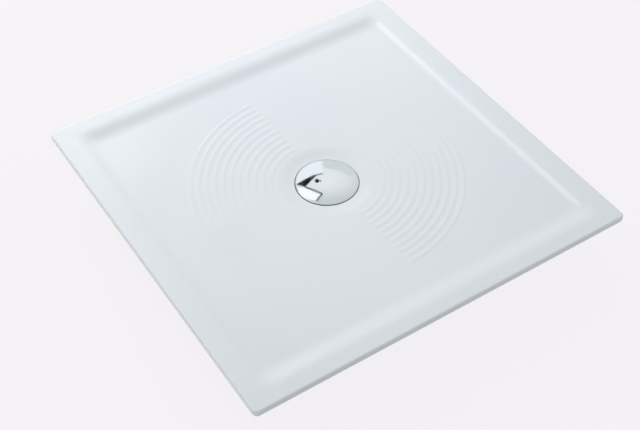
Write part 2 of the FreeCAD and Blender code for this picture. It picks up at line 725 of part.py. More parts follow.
# ---------------------------------------------------------------------------------------------------------
# Waste: removable insert and cover
# ---------------------------------------------------------------------------------------------------------
def make_dip_tube():
    """Rimmed funnel with the tube that reaches under the weir's top."""
    bore = "(tube_radius - tube_wall)"
    turned_body("dip_tube", polygon([
        (bore, f"{WEIR_Z} - tube_immersion"),
        ("tube_radius", f"{WEIR_Z} - tube_immersion"),
        ("tube_radius", CUP_Z),
        (CUP_OUTER, CUP_Z),
        (CUP_OUTER, f"{CUP_Z} + cup_height"),
        (f"({CUP_OUTER} - cup_wall)", f"{CUP_Z} + cup_height"),
        (f"({CUP_OUTER} - cup_wall)", CUP_FLOOR),
        ("(tube_radius - tube_wall / 2)", CUP_FLOOR),
        (bore, f"{CUP_Z} - tube_wall"),
    ]))


def make_strainer_basket():
    """Slotted basket with the hollow post that the cover's plug enters."""
    body = new_body("strainer_basket")
    section = half_section(body, "basket_section", polygon([
        ("post_bore", CUP_FLOOR),
        (BASKET_OUTER, CUP_FLOOR),
        (BASKET_OUTER, f"{CUP_FLOOR} + basket_height"),
        (f"({BASKET_OUTER} - basket_wall)", f"{CUP_FLOOR} + basket_height"),
        (f"({BASKET_OUTER} - basket_wall)", BASKET_FLOOR),
        ("post_radius", BASKET_FLOOR),
        ("post_radius", POST_TOP),
        ("post_bore", POST_TOP),
    ]))
    turned(body, "basket", section)
    slot = outline(body, "slot_outline", "XY_Plane", CUP_FLOOR, [polygon([
        ("slot_start", "-slot_width / 2"),
        (f"{BASKET_OUTER} - slot_margin", "-slot_width / 2"),
        (f"{BASKET_OUTER} - slot_margin", "slot_width / 2"),
        ("slot_start", "slot_width / 2"),
    ])])
    first = pocket(body, "slot", slot, "basket_wall", reverse=True)
    repeat_round(body, "slots", [first], "N_Axis", SLOT_COUNT)
    finished["strainer_basket"] = body


def make_waste_cover():
    """Thin dome with a turned-down edge."""
    inner_radius = f"({DOME_RADIUS} - cover_sheet)"
    inner_edge = f"({COVER_RADIUS} - cover_sheet)"
    inner_edge_z = f"({CROWN_Z} - {DOME_RADIUS} + sqrt({inner_radius} ^ 2 - {inner_edge} ^ 2))"
    turned_body("waste_cover", [
        ("0", f"{CROWN_Z} - cover_sheet", "-" + inner_radius),
        (inner_edge, inner_edge_z, None),
        (inner_edge, f"{COVER_EDGE} - cover_skirt", None),
        (COVER_RADIUS, f"{COVER_EDGE} - cover_skirt", None),
        (COVER_RADIUS, COVER_EDGE, "+" + DOME_RADIUS),
        ("0", CROWN_Z, None),
    ])


def make_cover_spider():
    """Three-armed carrier: its top lies under the dome, its arms end over the flange, its plug is central."""
    body = new_body("cover_spider")
    reach = f"({COVER_RADIUS} - arm_margin)"
    top_radius = f"({DOME_RADIUS} - cover_sheet)"
    top_edge = f"({CROWN_Z} - {DOME_RADIUS} + sqrt({top_radius} ^ 2 - {reach} ^ 2))"
    arm_z = f"({FLANGE_TOP} + end_clearance)"
    plug = "(post_bore - plug_clearance)"
    section = half_section(body, "spider_section", [
        ("0", f"{POST_TOP} - plug_depth", None),
        (plug, f"{POST_TOP} - plug_depth", None),
        (plug, arm_z, None),
        (reach, arm_z, None),
        (reach, top_edge, "+" + top_radius),
        ("0", f"{CROWN_Z} - cover_sheet", None),
    ])
    turned(body, "disc", section)
    doc.recompute()
    side = "(arm_width / 2)"
    near_x = f"(hub_radius / 2 + {side} * sqrt(3) / 2)"
    near_y = f"(hub_radius * sqrt(3) / 2 - {side} / 2)"
    far_x = f"({reach} + {side} * sqrt(3) / 2)"
    far_y = f"({reach} * sqrt(3) - {side} / 2)"
    window = outline(body, "window_outline", "XY_Plane", arm_z, [[
        (near_x, f"-{near_y}", None),
        (far_x, f"-{far_y}", None),
        (far_x, far_y, None),
        (near_x, near_y, f"-sqrt(hub_radius ^ 2 + {side} ^ 2)"),
    ]])
    first = pocket(body, "window", window, f"{CROWN_Z} - {arm_z}", reverse=True)
    repeat_round(body, "windows", [first], "N_Axis", ARM_COUNT)
    finished["cover_spider"] = body


make_tray_shell()
make_backing()
make_base_board()
for corner_name, signs in FOOT_CORNERS.items():
    make_foot(corner_name, *signs)
make_lock_nuts()
make_socket_screws()
ring("flange_seal", "(waste_hole + seal_inset / 2)", "(flange_radius - seal_inset)", SEAT_Z, "seal_thickness")
ring("body_seal", "(waste_hole + seal_inset / 2)", "(mouth_radius - seal_inset)", MOUTH_Z, "seal_thickness")
make_waste_flange()
make_trap_body()
make_outlet_fittings()
make_dip_tube()
ring("dip_tube_seal", f"({COLLAR_INNER} - ledge_width + cup_clearance)", f"({CUP_OUTER} - cup_clearance)",
     f"({LEDGE_Z} + end_clearance)", "seal_thickness")
make_strainer_basket()
make_waste_cover()
make_cover_spider()

# ---------------------------------------------------------------------------------------------------------
# Check and write
# ---------------------------------------------------------------------------------------------------------
doc.recompute()
for thing in doc.Objects:
    if "Invalid" in thing.State or "Error" in thing.State:
        raise RuntimeError(f"{thing.Name}: {thing.State}")
for name, body in finished.items():
    if body.Shape.isNull() or not body.Shape.isValid():
        raise RuntimeError(f"{name} has no valid shape")
os.makedirs("parts", exist_ok=True)
for name, body in finished.items():
    body.Shape.exportStep(f"parts/{name}.step")
    print(f"{name}: {len(body.Shape.Solids)} solid(s), {body.Shape.Volume / 1000:.2f} cm3")
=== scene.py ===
"""Looks of a low square shower tray with its levelling feet, waste and trap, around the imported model.

Every length is in metres, in the model's own frame: the origin on the floor under the middle of the tray,
+Z up, +Y to the rear. Each sub-assembly is a class that builds its meshes and dresses them.
"""

import logging
import math
from dataclasses import dataclass, field
from enum import Enum

import bmesh
import bpy
import numpy as np
from mathutils import Matrix, Vector


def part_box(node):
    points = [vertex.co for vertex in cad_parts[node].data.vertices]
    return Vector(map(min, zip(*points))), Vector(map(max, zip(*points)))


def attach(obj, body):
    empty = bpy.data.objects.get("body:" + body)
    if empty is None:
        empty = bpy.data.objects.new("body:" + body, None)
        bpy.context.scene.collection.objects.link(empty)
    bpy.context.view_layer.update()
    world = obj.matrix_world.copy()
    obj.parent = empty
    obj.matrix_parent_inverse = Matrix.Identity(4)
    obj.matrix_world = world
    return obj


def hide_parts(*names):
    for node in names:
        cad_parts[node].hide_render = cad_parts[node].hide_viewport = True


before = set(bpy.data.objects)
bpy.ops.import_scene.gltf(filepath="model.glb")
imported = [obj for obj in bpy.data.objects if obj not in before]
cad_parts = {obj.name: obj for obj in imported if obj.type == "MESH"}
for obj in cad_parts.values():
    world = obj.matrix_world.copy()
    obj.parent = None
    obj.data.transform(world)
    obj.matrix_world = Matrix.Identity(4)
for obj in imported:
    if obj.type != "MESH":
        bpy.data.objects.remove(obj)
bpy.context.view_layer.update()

log = logging.getLogger("shower_tray")

Triple = tuple[float, float, float]
Socket = bpy.types.NodeSocket

MM = 0.001
FULL_TURN = 2 * math.pi
CORNERS = {
    "front_left": (-1, -1),
    "front_right": (1, -1),
    "rear_right": (1, 1),
    "rear_left": (-1, 1),
}
BROKEN_PAST = math.radians(28.0)  # a copied node's edge is broken where its faces turn by more
SHARP_PAST = math.radians(30.0)  # a built detail's edge stays sharp where its faces turn by more
FLAT_WITHIN = math.radians(0.4)  # faces of a copied node are one flat face where they turn by less
MERGE_WITHIN = 0.002 * MM


class Slot(Enum):
    """Material slots of the record."""

    ACRYLIC = "acrylic"
    LAMINATE = "laminate"
    BOARD = "board"
    SOCKET = "socket_plastic"
    PAD = "pad_plastic"
    ZINC = "zinc_steel"
    SEAL = "seal_rubber"
    FLANGE = "flange_steel"
    TRAP = "trap_plastic"
    NUT = "nut_plastic"
    INSERT = "insert_plastic"
    COVER = "cover_chrome"


# ---- Node graphs ----
class Graph:
    """A node tree with short calls for what the finishes and the studio need."""

    def __init__(self, owner: bpy.types.Material | bpy.types.World, output: str = "OutputMaterial") -> None:
        """Start with an output and nothing else.

        Args:
            owner: the material or the world.
            output: type of the output node, without the leading ShaderNode.
        """
        owner.use_nodes = True
        self.owner = owner
        self.tree = owner.node_tree
        self.tree.nodes.clear()
        self.output = self.node(output)

    def node(self, kind: str, inputs: dict[str | int, object] | None = None,
             **settings: object) -> bpy.types.Node:
        """Add a node.

        Args:
            kind: Blender's name of the node type, without the leading ShaderNode.
            inputs: what its inputs get, by name or number; an output is linked, anything else is set.
            settings: the node's own properties.

        Returns:
            The new node.
        """
        made = self.tree.nodes.new("ShaderNode" + kind)
        for key, value in settings.items():
            setattr(made, key, value)
        for key, value in (inputs or {}).items():
            target = made.inputs[key]
            if isinstance(value, Socket):
                self.tree.links.new(value, target)
            else:
                target.default_value = (*value, 1.0) if target.type == "RGBA" else value
        return made

    def shade(self, kind: str, inputs: dict[str | int, object]) -> None:
        """Add the last shader and join it to the output."""
        self.tree.links.new(self.node(kind, inputs).outputs[0], self.output.inputs["Surface"])

    def combine(self, operation: str, first: Socket, second: Socket | float) -> Socket:
        """Result of an arithmetic operation on two values."""
        return self.node("Math", {0: first, 1: second}, operation=operation).outputs[0]

    def coordinates(self, scale: Triple = (1.0, 1.0, 1.0)) -> Socket:
        """Object coordinates, stretched by factors along X, Y and Z."""
        source = self.node("TexCoord").outputs["Object"]
        return self.node("Mapping", {"Vector": source, "Scale": scale}).outputs["Vector"]

    def noise(self, vector: Socket, scale: float, detail: float = 3.0) -> Socket:
        """Fractal noise, about 0.5 on the mean, with scale cells a metre and detail octaves."""
        return self.node("TexNoise", {"Vector": vector, "Scale": scale, "Detail": detail}).outputs["Fac"]

    def range(self, value: Socket, low: Socket | float, high: Socket | float, start: float = 0.3,
              end: float = 0.7, **settings: object) -> Socket:
        """Map a value from start..end to low..high, and hold it at the ends.

        Args:
            value: the input.
            low: the result at start.
            high: the result at end.
            start: where the input gives low.
            end: where the input gives high.
            settings: the node's own properties.

        Returns:
            The mapped value.
        """
        inputs = {"Value": value, "From Min": start, "From Max": end, "To Min": low, "To Max": high}
        return self.node("MapRange", inputs, **settings).outputs["Result"]

    def mix(self, value: Socket, first: Triple, second: Triple, start: float = 0.3,
            end: float = 0.7) -> Socket:
        """Mix two colours.

        Args:
            value: what chooses between them.
            first: the colour where the value is start or less.
            second: the colour where the value is end or more.
            start: where the first colour ends.
            end: where the second colour begins.

        Returns:
            The colour.
        """
        made = self.node("Mix", {"Factor": self.range(value, 0.0, 1.0, start, end)}, data_type="RGBA")
        sockets = {socket.name: socket for socket in made.inputs if socket.type == "RGBA"}
        sockets["A"].default_value = (*first, 1.0)
        sockets["B"].default_value = (*second, 1.0)
        return next(socket for socket in made.outputs if socket.type == "RGBA")

    def bump(self, height: Socket, depth: float, before: Socket | None = None) -> Socket:
        """Turn a height into a normal.

        Args:
            height: the height field, 0 to 1.
            depth: metres between 0 and 1.
            before: a normal that it adds to.

        Returns:
            The normal.
        """
        inputs = {"Height": height, "Strength": 1.0, "Distance": depth}
        if before is not None:
            inputs["Normal"] = before
        return self.node("Bump", inputs).outputs["Normal"]


def dimmer(colour: Triple, factor: float) -> Triple:
    """The colour with each channel times the factor."""
    return tuple(channel * factor for channel in colour)


# ---- Finishes ----
@dataclass(frozen=True)
class Noise:
    """A noise field on object coordinates: cells a metre, octaves, and factors along X, Y and Z."""

    scale: float
    detail: float = 3.0
    stretch: Triple = (1.0, 1.0, 1.0)

    def add(self, graph: Graph) -> Socket:
        """Add the field to a graph."""
        return graph.noise(graph.coordinates(self.stretch), self.scale, self.detail)


@dataclass(frozen=True)
class Finish:
    """A finish that a piece is dressed in: a cloud between two colours, and a fine relief.

    The cloud drives the roughness too, or the relief does where relief_roughness says so.
    """

    name: str
    slot: Slot
    colours: tuple[Triple, ...]
    roughness: tuple[float, float]
    cloud: Noise
    relief: Noise
    depth: float
    relief_roughness: bool = False
    plain: tuple[tuple[str, float], ...] = ()

    def surface(self, graph: Graph) -> dict[str, object]:
        """Add the finish's nodes.

        Args:
            graph: the graph that gets them.

        Returns:
            What the inputs of the surface shader get, by their names.
        """
        cloud, relief = self.cloud.add(graph), self.relief.add(graph)
        first, *second = self.colours
        return {
            "Base Color": graph.mix(cloud, first, *second) if second else first,
            "Roughness": graph.range(relief if self.relief_roughness else cloud, *self.roughness),
            "Normal": graph.bump(relief, self.depth),
            **dict(self.plain),
        }

    def material(self) -> bpy.types.Material:
        """The material, made once."""
        found = bpy.data.materials.get(self.name)
        if found:
            return found
        graph = Graph(bpy.data.materials.new(self.name))
        graph.shade("BsdfPrincipled", self.surface(graph))
        return graph.owner

    def dress(self, piece: bpy.types.Object) -> None:
        """Put the finish on a piece.

        Args:
            piece: the object.
        """
        piece.data.materials.clear()
        piece.data.materials.append(self.material())


@dataclass(frozen=True)
class Laminate(Finish):
    """Sprayed glass fibre and resin: pooled resin over two crossed layers of strands, which lie rough."""

    strand_depth: float = 0.5 * MM

    def surface(self, graph: Graph) -> dict[str, object]:
        """Add the nodes: the colours follow the strands, the roughness the pools, the relief both."""
        pools = self.cloud.add(graph)
        turned = Noise(self.relief.scale, stretch=self.relief.stretch[1::-1] + self.relief.stretch[2:])
        strands = graph.combine("MAXIMUM", self.relief.add(graph), turned.add(graph))
        return {
            "Base Color": graph.mix(strands, *self.colours, start=0.45, end=0.7),
            "Roughness": graph.range(pools, *self.roughness),
            "Normal": graph.bump(pools, self.depth, graph.bump(strands, self.strand_depth)),
        }


@dataclass(frozen=True)
class ParticleBoard(Finish):
    """Particle board under a thin coat of resin: flat chips of several browns, with warped edges."""

    chip_scale: float = 340.0
    warp: float = 2 * MM

    def surface(self, graph: Graph) -> dict[str, object]:
        """Add the nodes: the colours follow the chips, the roughness and the relief the dust."""
        dust = self.relief.add(graph)
        warp = graph.range(self.cloud.add(graph), -self.warp, self.warp)
        shift = graph.node("CombineXYZ", dict.fromkeys(range(3), warp))
        place = {0: graph.coordinates(self.relief.stretch), 1: shift.outputs["Vector"]}
        moved = graph.node("VectorMath", place, operation="ADD").outputs["Vector"]
        chips = graph.node("TexVoronoi", {"Vector": moved, "Scale": self.chip_scale}, feature="F1")
        grey = graph.node("RGBToBW", {"Color": chips.outputs["Color"]}).outputs["Val"]
        return {
            "Base Color": graph.mix(grey, *self.colours, start=0.15, end=0.85),
            "Roughness": graph.range(dust, *self.roughness),
            "Normal": graph.bump(dust, self.depth),
            **dict(self.plain),
        }


def moulded(name: str, slot: Slot, colour: Triple, roughness: float) -> Finish:
    """Moulded plastic with a fine spark-eroded grain and slight flow shading."""
    return Finish(name, slot, (colour, dimmer(colour, 0.94)), (roughness - 0.06, roughness + 0.08),
                  Noise(38.0), Noise(2600.0, 2.0), 0.02 * MM, True, (("Specular IOR Level", 0.45),))


def metal(name: str, slot: Slot, colour: Triple, roughness: float) -> Finish:
    """Metal with fine turning or drawing marks and cloudy roughness."""
    return Finish(name, slot, (colour, dimmer(colour, 0.9)), (roughness - 0.05, roughness + 0.07),
                  Noise(45.0), Noise(120.0, stretch=(1.0, 1.0, 30.0)), 0.01 * MM, plain=(("Metallic", 1.0),))


# Glossy formed acrylic: a clean body colour, a faint cloud in the gloss and a trace of draw marks.
ACRYLIC = Finish("white_acrylic", Slot.ACRYLIC, ((0.788, 0.836, 0.868), (0.776, 0.829, 0.874)), (0.16, 0.21),
                 Noise(4.5, 2.0), Noise(260.0, 2.0), 0.004 * MM,
                 plain=(("IOR", 1.49), ("Coat Weight", 0.35), ("Coat Roughness", 0.06)))
LAMINATE = Laminate("glass_laminate", Slot.LAMINATE, ((0.62, 0.60, 0.50), (0.78, 0.77, 0.70)), (0.35, 0.62),
                    Noise(14.0, 4.0), Noise(60.0, stretch=(1.0, 9.0, 1.0)), 1.2 * MM)
BOARD = ParticleBoard("particle_board", Slot.BOARD, ((0.56, 0.42, 0.26), (0.34, 0.23, 0.12)), (0.5, 0.72),
                      Noise(300.0), Noise(900.0, stretch=(1.0, 2.2, 1.5)), 0.12 * MM,
                      plain=(("Coat Weight", 0.15), ("Coat Roughness", 0.4)))
# Polished chrome plate with a few hair marks from cleaning.
COVER = Finish("polished_chrome", Slot.COVER, ((0.81, 0.85, 0.885),), (0.035, 0.075), Noise(55.0, 4.0),
               Noise(300.0, 2.0, (1.0, 12.0, 1.0)), 0.0006 * MM, plain=(("Metallic", 1.0),))
# Black moulded rubber with a dry bloom.
SEAL = Finish("seal_rubber", Slot.SEAL, ((0.022, 0.022, 0.023), (0.045, 0.045, 0.046)), (0.62, 0.8),
              Noise(90.0, 4.0), Noise(1900.0, 2.0), 0.03 * MM)
ZINC = metal("zinc_plate", Slot.ZINC, (0.62, 0.62, 0.6), 0.28)
FLANGE = metal("drawn_steel", Slot.FLANGE, (0.6, 0.6, 0.59), 0.24)
SOCKET = moulded("socket_nylon", Slot.SOCKET, (0.03, 0.03, 0.032), 0.5)
PAD = moulded("pad_plastic", Slot.PAD, (0.04, 0.04, 0.042), 0.45)
TRAP = moulded("trap_plastic", Slot.TRAP, (0.84, 0.84, 0.82), 0.36)
NUT = moulded("nut_plastic", Slot.NUT, (0.8, 0.8, 0.78), 0.4)
INSERT = moulded("insert_plastic", Slot.INSERT, (0.58, 0.6, 0.6), 0.4)


# ---- Meshes ----
def grid_faces(rows: int, columns: int, close_rows: bool) -> np.ndarray:
    """Quads of a grid of points numbered row by row, its last column joined to the first.

    Each quad joins a point, its right neighbour and the two above.

    Args:
        rows: number of rows.
        columns: number of columns.
        close_rows: whether the last row joins the first.

    Returns:
        Point numbers, one quad a line.
    """
    row = np.arange(rows if close_rows else rows - 1)[:, None]
    column = np.arange(columns)[None, :]
    above, right = (row + 1) % rows * columns, (column + 1) % columns
    corners = [row * columns + column, row * columns + right, above + right, above + column]
    return np.stack(corners, axis=-1).reshape(-1, 4)


def scene_object(name: str, mesh: bpy.types.Mesh, sharp: float | None = None) -> bpy.types.Object:
    """Shade a mesh smooth and put it in the scene.

    Args:
        name: the object's name.
        mesh: the mesh.
        sharp: angle past which an edge stays sharp; without it none does.

    Returns:
        The object, at the origin.
    """
    mesh.polygons.foreach_set("use_smooth", np.ones(len(mesh.polygons), dtype=bool))
    if sharp is not None:
        mesh.set_sharp_from_angle(angle=sharp)
    made = bpy.data.objects.new(name, mesh)
    bpy.context.scene.collection.objects.link(made)
    return made


def mesh_object(name: str, points: np.ndarray, faces: list[list[int]],
                sharp: float | None = None) -> bpy.types.Object:
    """Make an object from points and faces.

    Args:
        name: the piece's name.
        points: coordinates, one point a line.
        faces: point numbers, one face a line.
        sharp: angle past which an edge stays sharp.

    Returns:
        The object, at the origin, in the scene.
    """
    mesh = bpy.data.meshes.new(name)
    mesh.from_pydata(points.reshape(-1, 3).tolist(), [], faces)
    mesh.update()
    return scene_object(name, mesh, sharp)


def smooth_step(value: np.ndarray) -> np.ndarray:
    """3t^2 - 2t^3 with t held between 0 and 1."""
    t = np.clip(value, 0.0, 1.0)
    return t * t * (3.0 - 2.0 * t)


def turn_angles(count: int) -> np.ndarray:
    """Angles of equal steps round a full turn."""
    return np.linspace(0.0, FULL_TURN, count, endpoint=False)


def rounded_loop(half: float, corner: float, straight: int, turn: int) -> np.ndarray:
    """Points round a square with rounded corners, anticlockwise from the lower end of the right side.

    Each side holds straight points spread along it and each corner turn points along a quarter circle of
    radius corner about (half - corner, half - corner).

    Args:
        half: half the square's side.
        corner: radius of the corners.
        straight: points of a side.
        turn: points of a corner.

    Returns:
        Array of points by two coordinates.
    """
    inner = half - corner
    along = np.linspace(-inner, inner, straight, endpoint=False)
    side = np.stack([np.full(straight, half), along], axis=1)
    angle = np.linspace(0.0, math.pi / 2, turn, endpoint=False)
    arc = np.stack([inner + corner * np.cos(angle), inner + corner * np.sin(angle)], axis=1)
    quarter = np.concatenate([side, arc])
    turns = [np.array([[math.cos(a), -math.sin(a)], [math.sin(a), math.cos(a)]])
             for a in np.arange(4) * math.pi / 2]
    return np.concatenate([quarter @ t.T for t in turns])


def level_ring(plan: np.ndarray, height: float) -> np.ndarray:
    """Plan points at one height."""
    return np.column_stack([plan, np.full(len(plan), height)])


def ring_points(radius: np.ndarray | float, height: np.ndarray | float, angle: np.ndarray) -> np.ndarray:
    """Points (r cos a, r sin a, z), with radius and height by ring and column."""
    radius, height, angle = np.broadcast_arrays(radius, height, angle)
    return np.stack([radius * np.cos(angle), radius * np.sin(angle), height], axis=-1)


def fillet_profile(points: list[tuple[float, float]], radius: float, steps: int = 4) -> np.ndarray:
    """Round the corners of an open profile, with a point beside each arc so that flats stay flat.

    At a corner the arc of the given radius touches both runs. It is drawn as a quadratic curve between its
    two tangent points with the corner as its pole, which departs from a circle by a few percent of the
    radius. An arc takes up less than half of a run.

    Args:
        points: the corners in order.
        radius: of the arcs.
        steps: pieces of an arc.

    Returns:
        Array of points by two coordinates.
    """
    arc_share, flat_share, beside = 0.42, 0.46, 1.25
    corner = np.array(points, dtype=float)
    runs = [np.roll(corner, step, axis=0) - corner for step in (1, -1)]
    lengths = [np.linalg.norm(run, axis=1, keepdims=True) for run in runs]
    before, after = (run / np.maximum(length, 1e-12) for run, length in zip(runs, lengths))
    cosine = np.clip((before * after).sum(axis=1, keepdims=True), -0.9999, 0.9999)
    reach = radius / np.tan(np.arccos(cosine) / 2)
    reach = np.minimum(reach, arc_share * np.minimum(*lengths))
    t = np.linspace(0.0, 1.0, steps + 1)[None, :, None]
    start, end = ((corner + unit * reach)[:, None, :] for unit in (before, after))
    curve = (1 - t) ** 2 * start + 2 * t * (1 - t) * corner[:, None, :] + t ** 2 * end
    lead, trail = ((corner + unit * np.minimum(reach * beside, flat_share * length))[:, None, :]
                   for unit, length in zip((before, after), lengths))
    rounded = np.concatenate([lead, curve, trail], axis=1)
    return np.concatenate([corner[:1], rounded[1:-1].reshape(-1, 2), corner[-1:]])


def lathe(name: str, profile: np.ndarray, segments: int,
          centre: tuple[float, float] = (0.0, 0.0)) -> bpy.types.Object:
    """Turn a profile about an upright axis: (r, z) gives (x + r cos a, y + r sin a, z) for a full turn of a.

    Args:
        name: the piece's name.
        profile: points by radius and height, from the lower pole to the upper pole.
        segments: steps of the turn.
        centre: the axis in plan.

    Returns:
        The object.
    """
    body = profile[1:-1]
    points = ring_points(body[:, :1], body[:, 1:], turn_angles(segments)).reshape(-1, 3)
    poles = np.array([[0.0, 0.0, profile[0, 1]], [0.0, 0.0, profile[-1, 1]]])
    low, top = len(points), (len(body) - 1) * segments
    sides = [(column, (column + 1) % segments) for column in range(segments)]
    faces = grid_faces(len(body), segments, False).tolist()
    faces += [(low, right, left) for left, right in sides]
    faces += [(low + 1, top + left, top + right) for left, right in sides]
    return mesh_object(name, np.concatenate([points, poles]) + np.array([*centre, 0.0]), faces)


@dataclass
class Patch:
    """Points with their faces, to be joined with others into one piece."""

    points: np.ndarray
    quads: np.ndarray
    caps: list[np.ndarray] = field(default_factory=list)

    def moved(self, x: float, y: float) -> "Patch":
        """The patch carried sideways."""
        return Patch(self.points + np.array([x, y, 0.0]), self.quads, self.caps)


def grid_patch(rings: np.ndarray, closed: bool) -> Patch:
    """Faces over rings of points.

    Args:
        rings: points by ring, column and coordinate; anticlockwise about their axis, on the outside from
            below.
        closed: whether the last ring joins the first; if not, a cap closes each end.

    Returns:
        The patch.
    """
    rows, columns = rings.shape[:2]
    around = np.arange(columns)
    caps = [] if closed else [around[::-1], (rows - 1) * columns + around]
    return Patch(rings.reshape(-1, 3), grid_faces(rows, columns, closed), caps)


def joined(name: str, patches: list[Patch]) -> bpy.types.Object:
    """Make one object of patches, smooth but for its sharp edges.

    Args:
        name: the piece's name.
        patches: the patches.

    Returns:
        The object.
    """
    starts = np.cumsum([0] + [len(patch.points) for patch in patches])[:-1]
    points = np.concatenate([patch.points for patch in patches])
    quads = np.concatenate([patch.quads + start for patch, start in zip(patches, starts)])
    caps = [(cap + start).tolist() for patch, start in zip(patches, starts) for cap in patch.caps]
    return mesh_object(name, points, quads.tolist() + caps, SHARP_PAST)


def softened(name: str, node: str, width: float, segments: int = 2) -> bpy.types.Object:
    """Copy a node's mesh, merge its points and flat faces, and break its edges.

    Args:
        name: the piece's name.
        node: the node that is copied.
        width: width of the broken edges.
        segments: faces across a broken edge.

    Returns:
        The object.
    """
    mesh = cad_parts[node].data.copy()
    mesh.name = name
    work = bmesh.new()
    work.from_mesh(mesh)
    bmesh.ops.remove_doubles(work, verts=work.verts, dist=MERGE_WITHIN)
    bmesh.ops.dissolve_limit(work, angle_limit=FLAT_WITHIN, verts=work.verts, edges=work.edges)
    work.to_mesh(mesh)
    work.free()
    made = scene_object(name, mesh, BROKEN_PAST)
    edge = made.modifiers.new("edges", "BEVEL")
    edge.width = width
    edge.segments = segments
    edge.limit_method = "ANGLE"
    edge.angle_limit = BROKEN_PAST
    edge.harden_normals = True
    return made


def seat(piece: bpy.types.Object, body: str, finish: Finish, *nodes: str) -> None:
    """Dress a new piece, let it ride on its body and stand for its nodes, and see that it faces outwards.

    The sum of the triple products of the triangles' corners is six times the enclosed volume.

    Args:
        piece: the object.
        body: the body that carries it.
        finish: what it is dressed in.
        nodes: the nodes that it stands for.
    """
    triangles = piece.data.loop_triangles
    piece.data.calc_loop_triangles()
    corners = np.empty(len(piece.data.vertices) * 3)
    piece.data.vertices.foreach_get("co", corners)
    index = np.empty(len(triangles) * 3, dtype=int)
    triangles.foreach_get("vertices", index)
    a, b, c = (corners.reshape(-1, 3)[index.reshape(-1, 3)[:, k]] for k in range(3))
    if np.einsum("ij,ij->", a, np.cross(b, c)) <= 0.0:
        raise ValueError(piece.name + " is inside out")
    finish.dress(piece)
    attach(piece, body)
    if nodes:
        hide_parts(*nodes)
    log.info("%s: %d faces on %s", piece.name, len(piece.data.polygons), body)


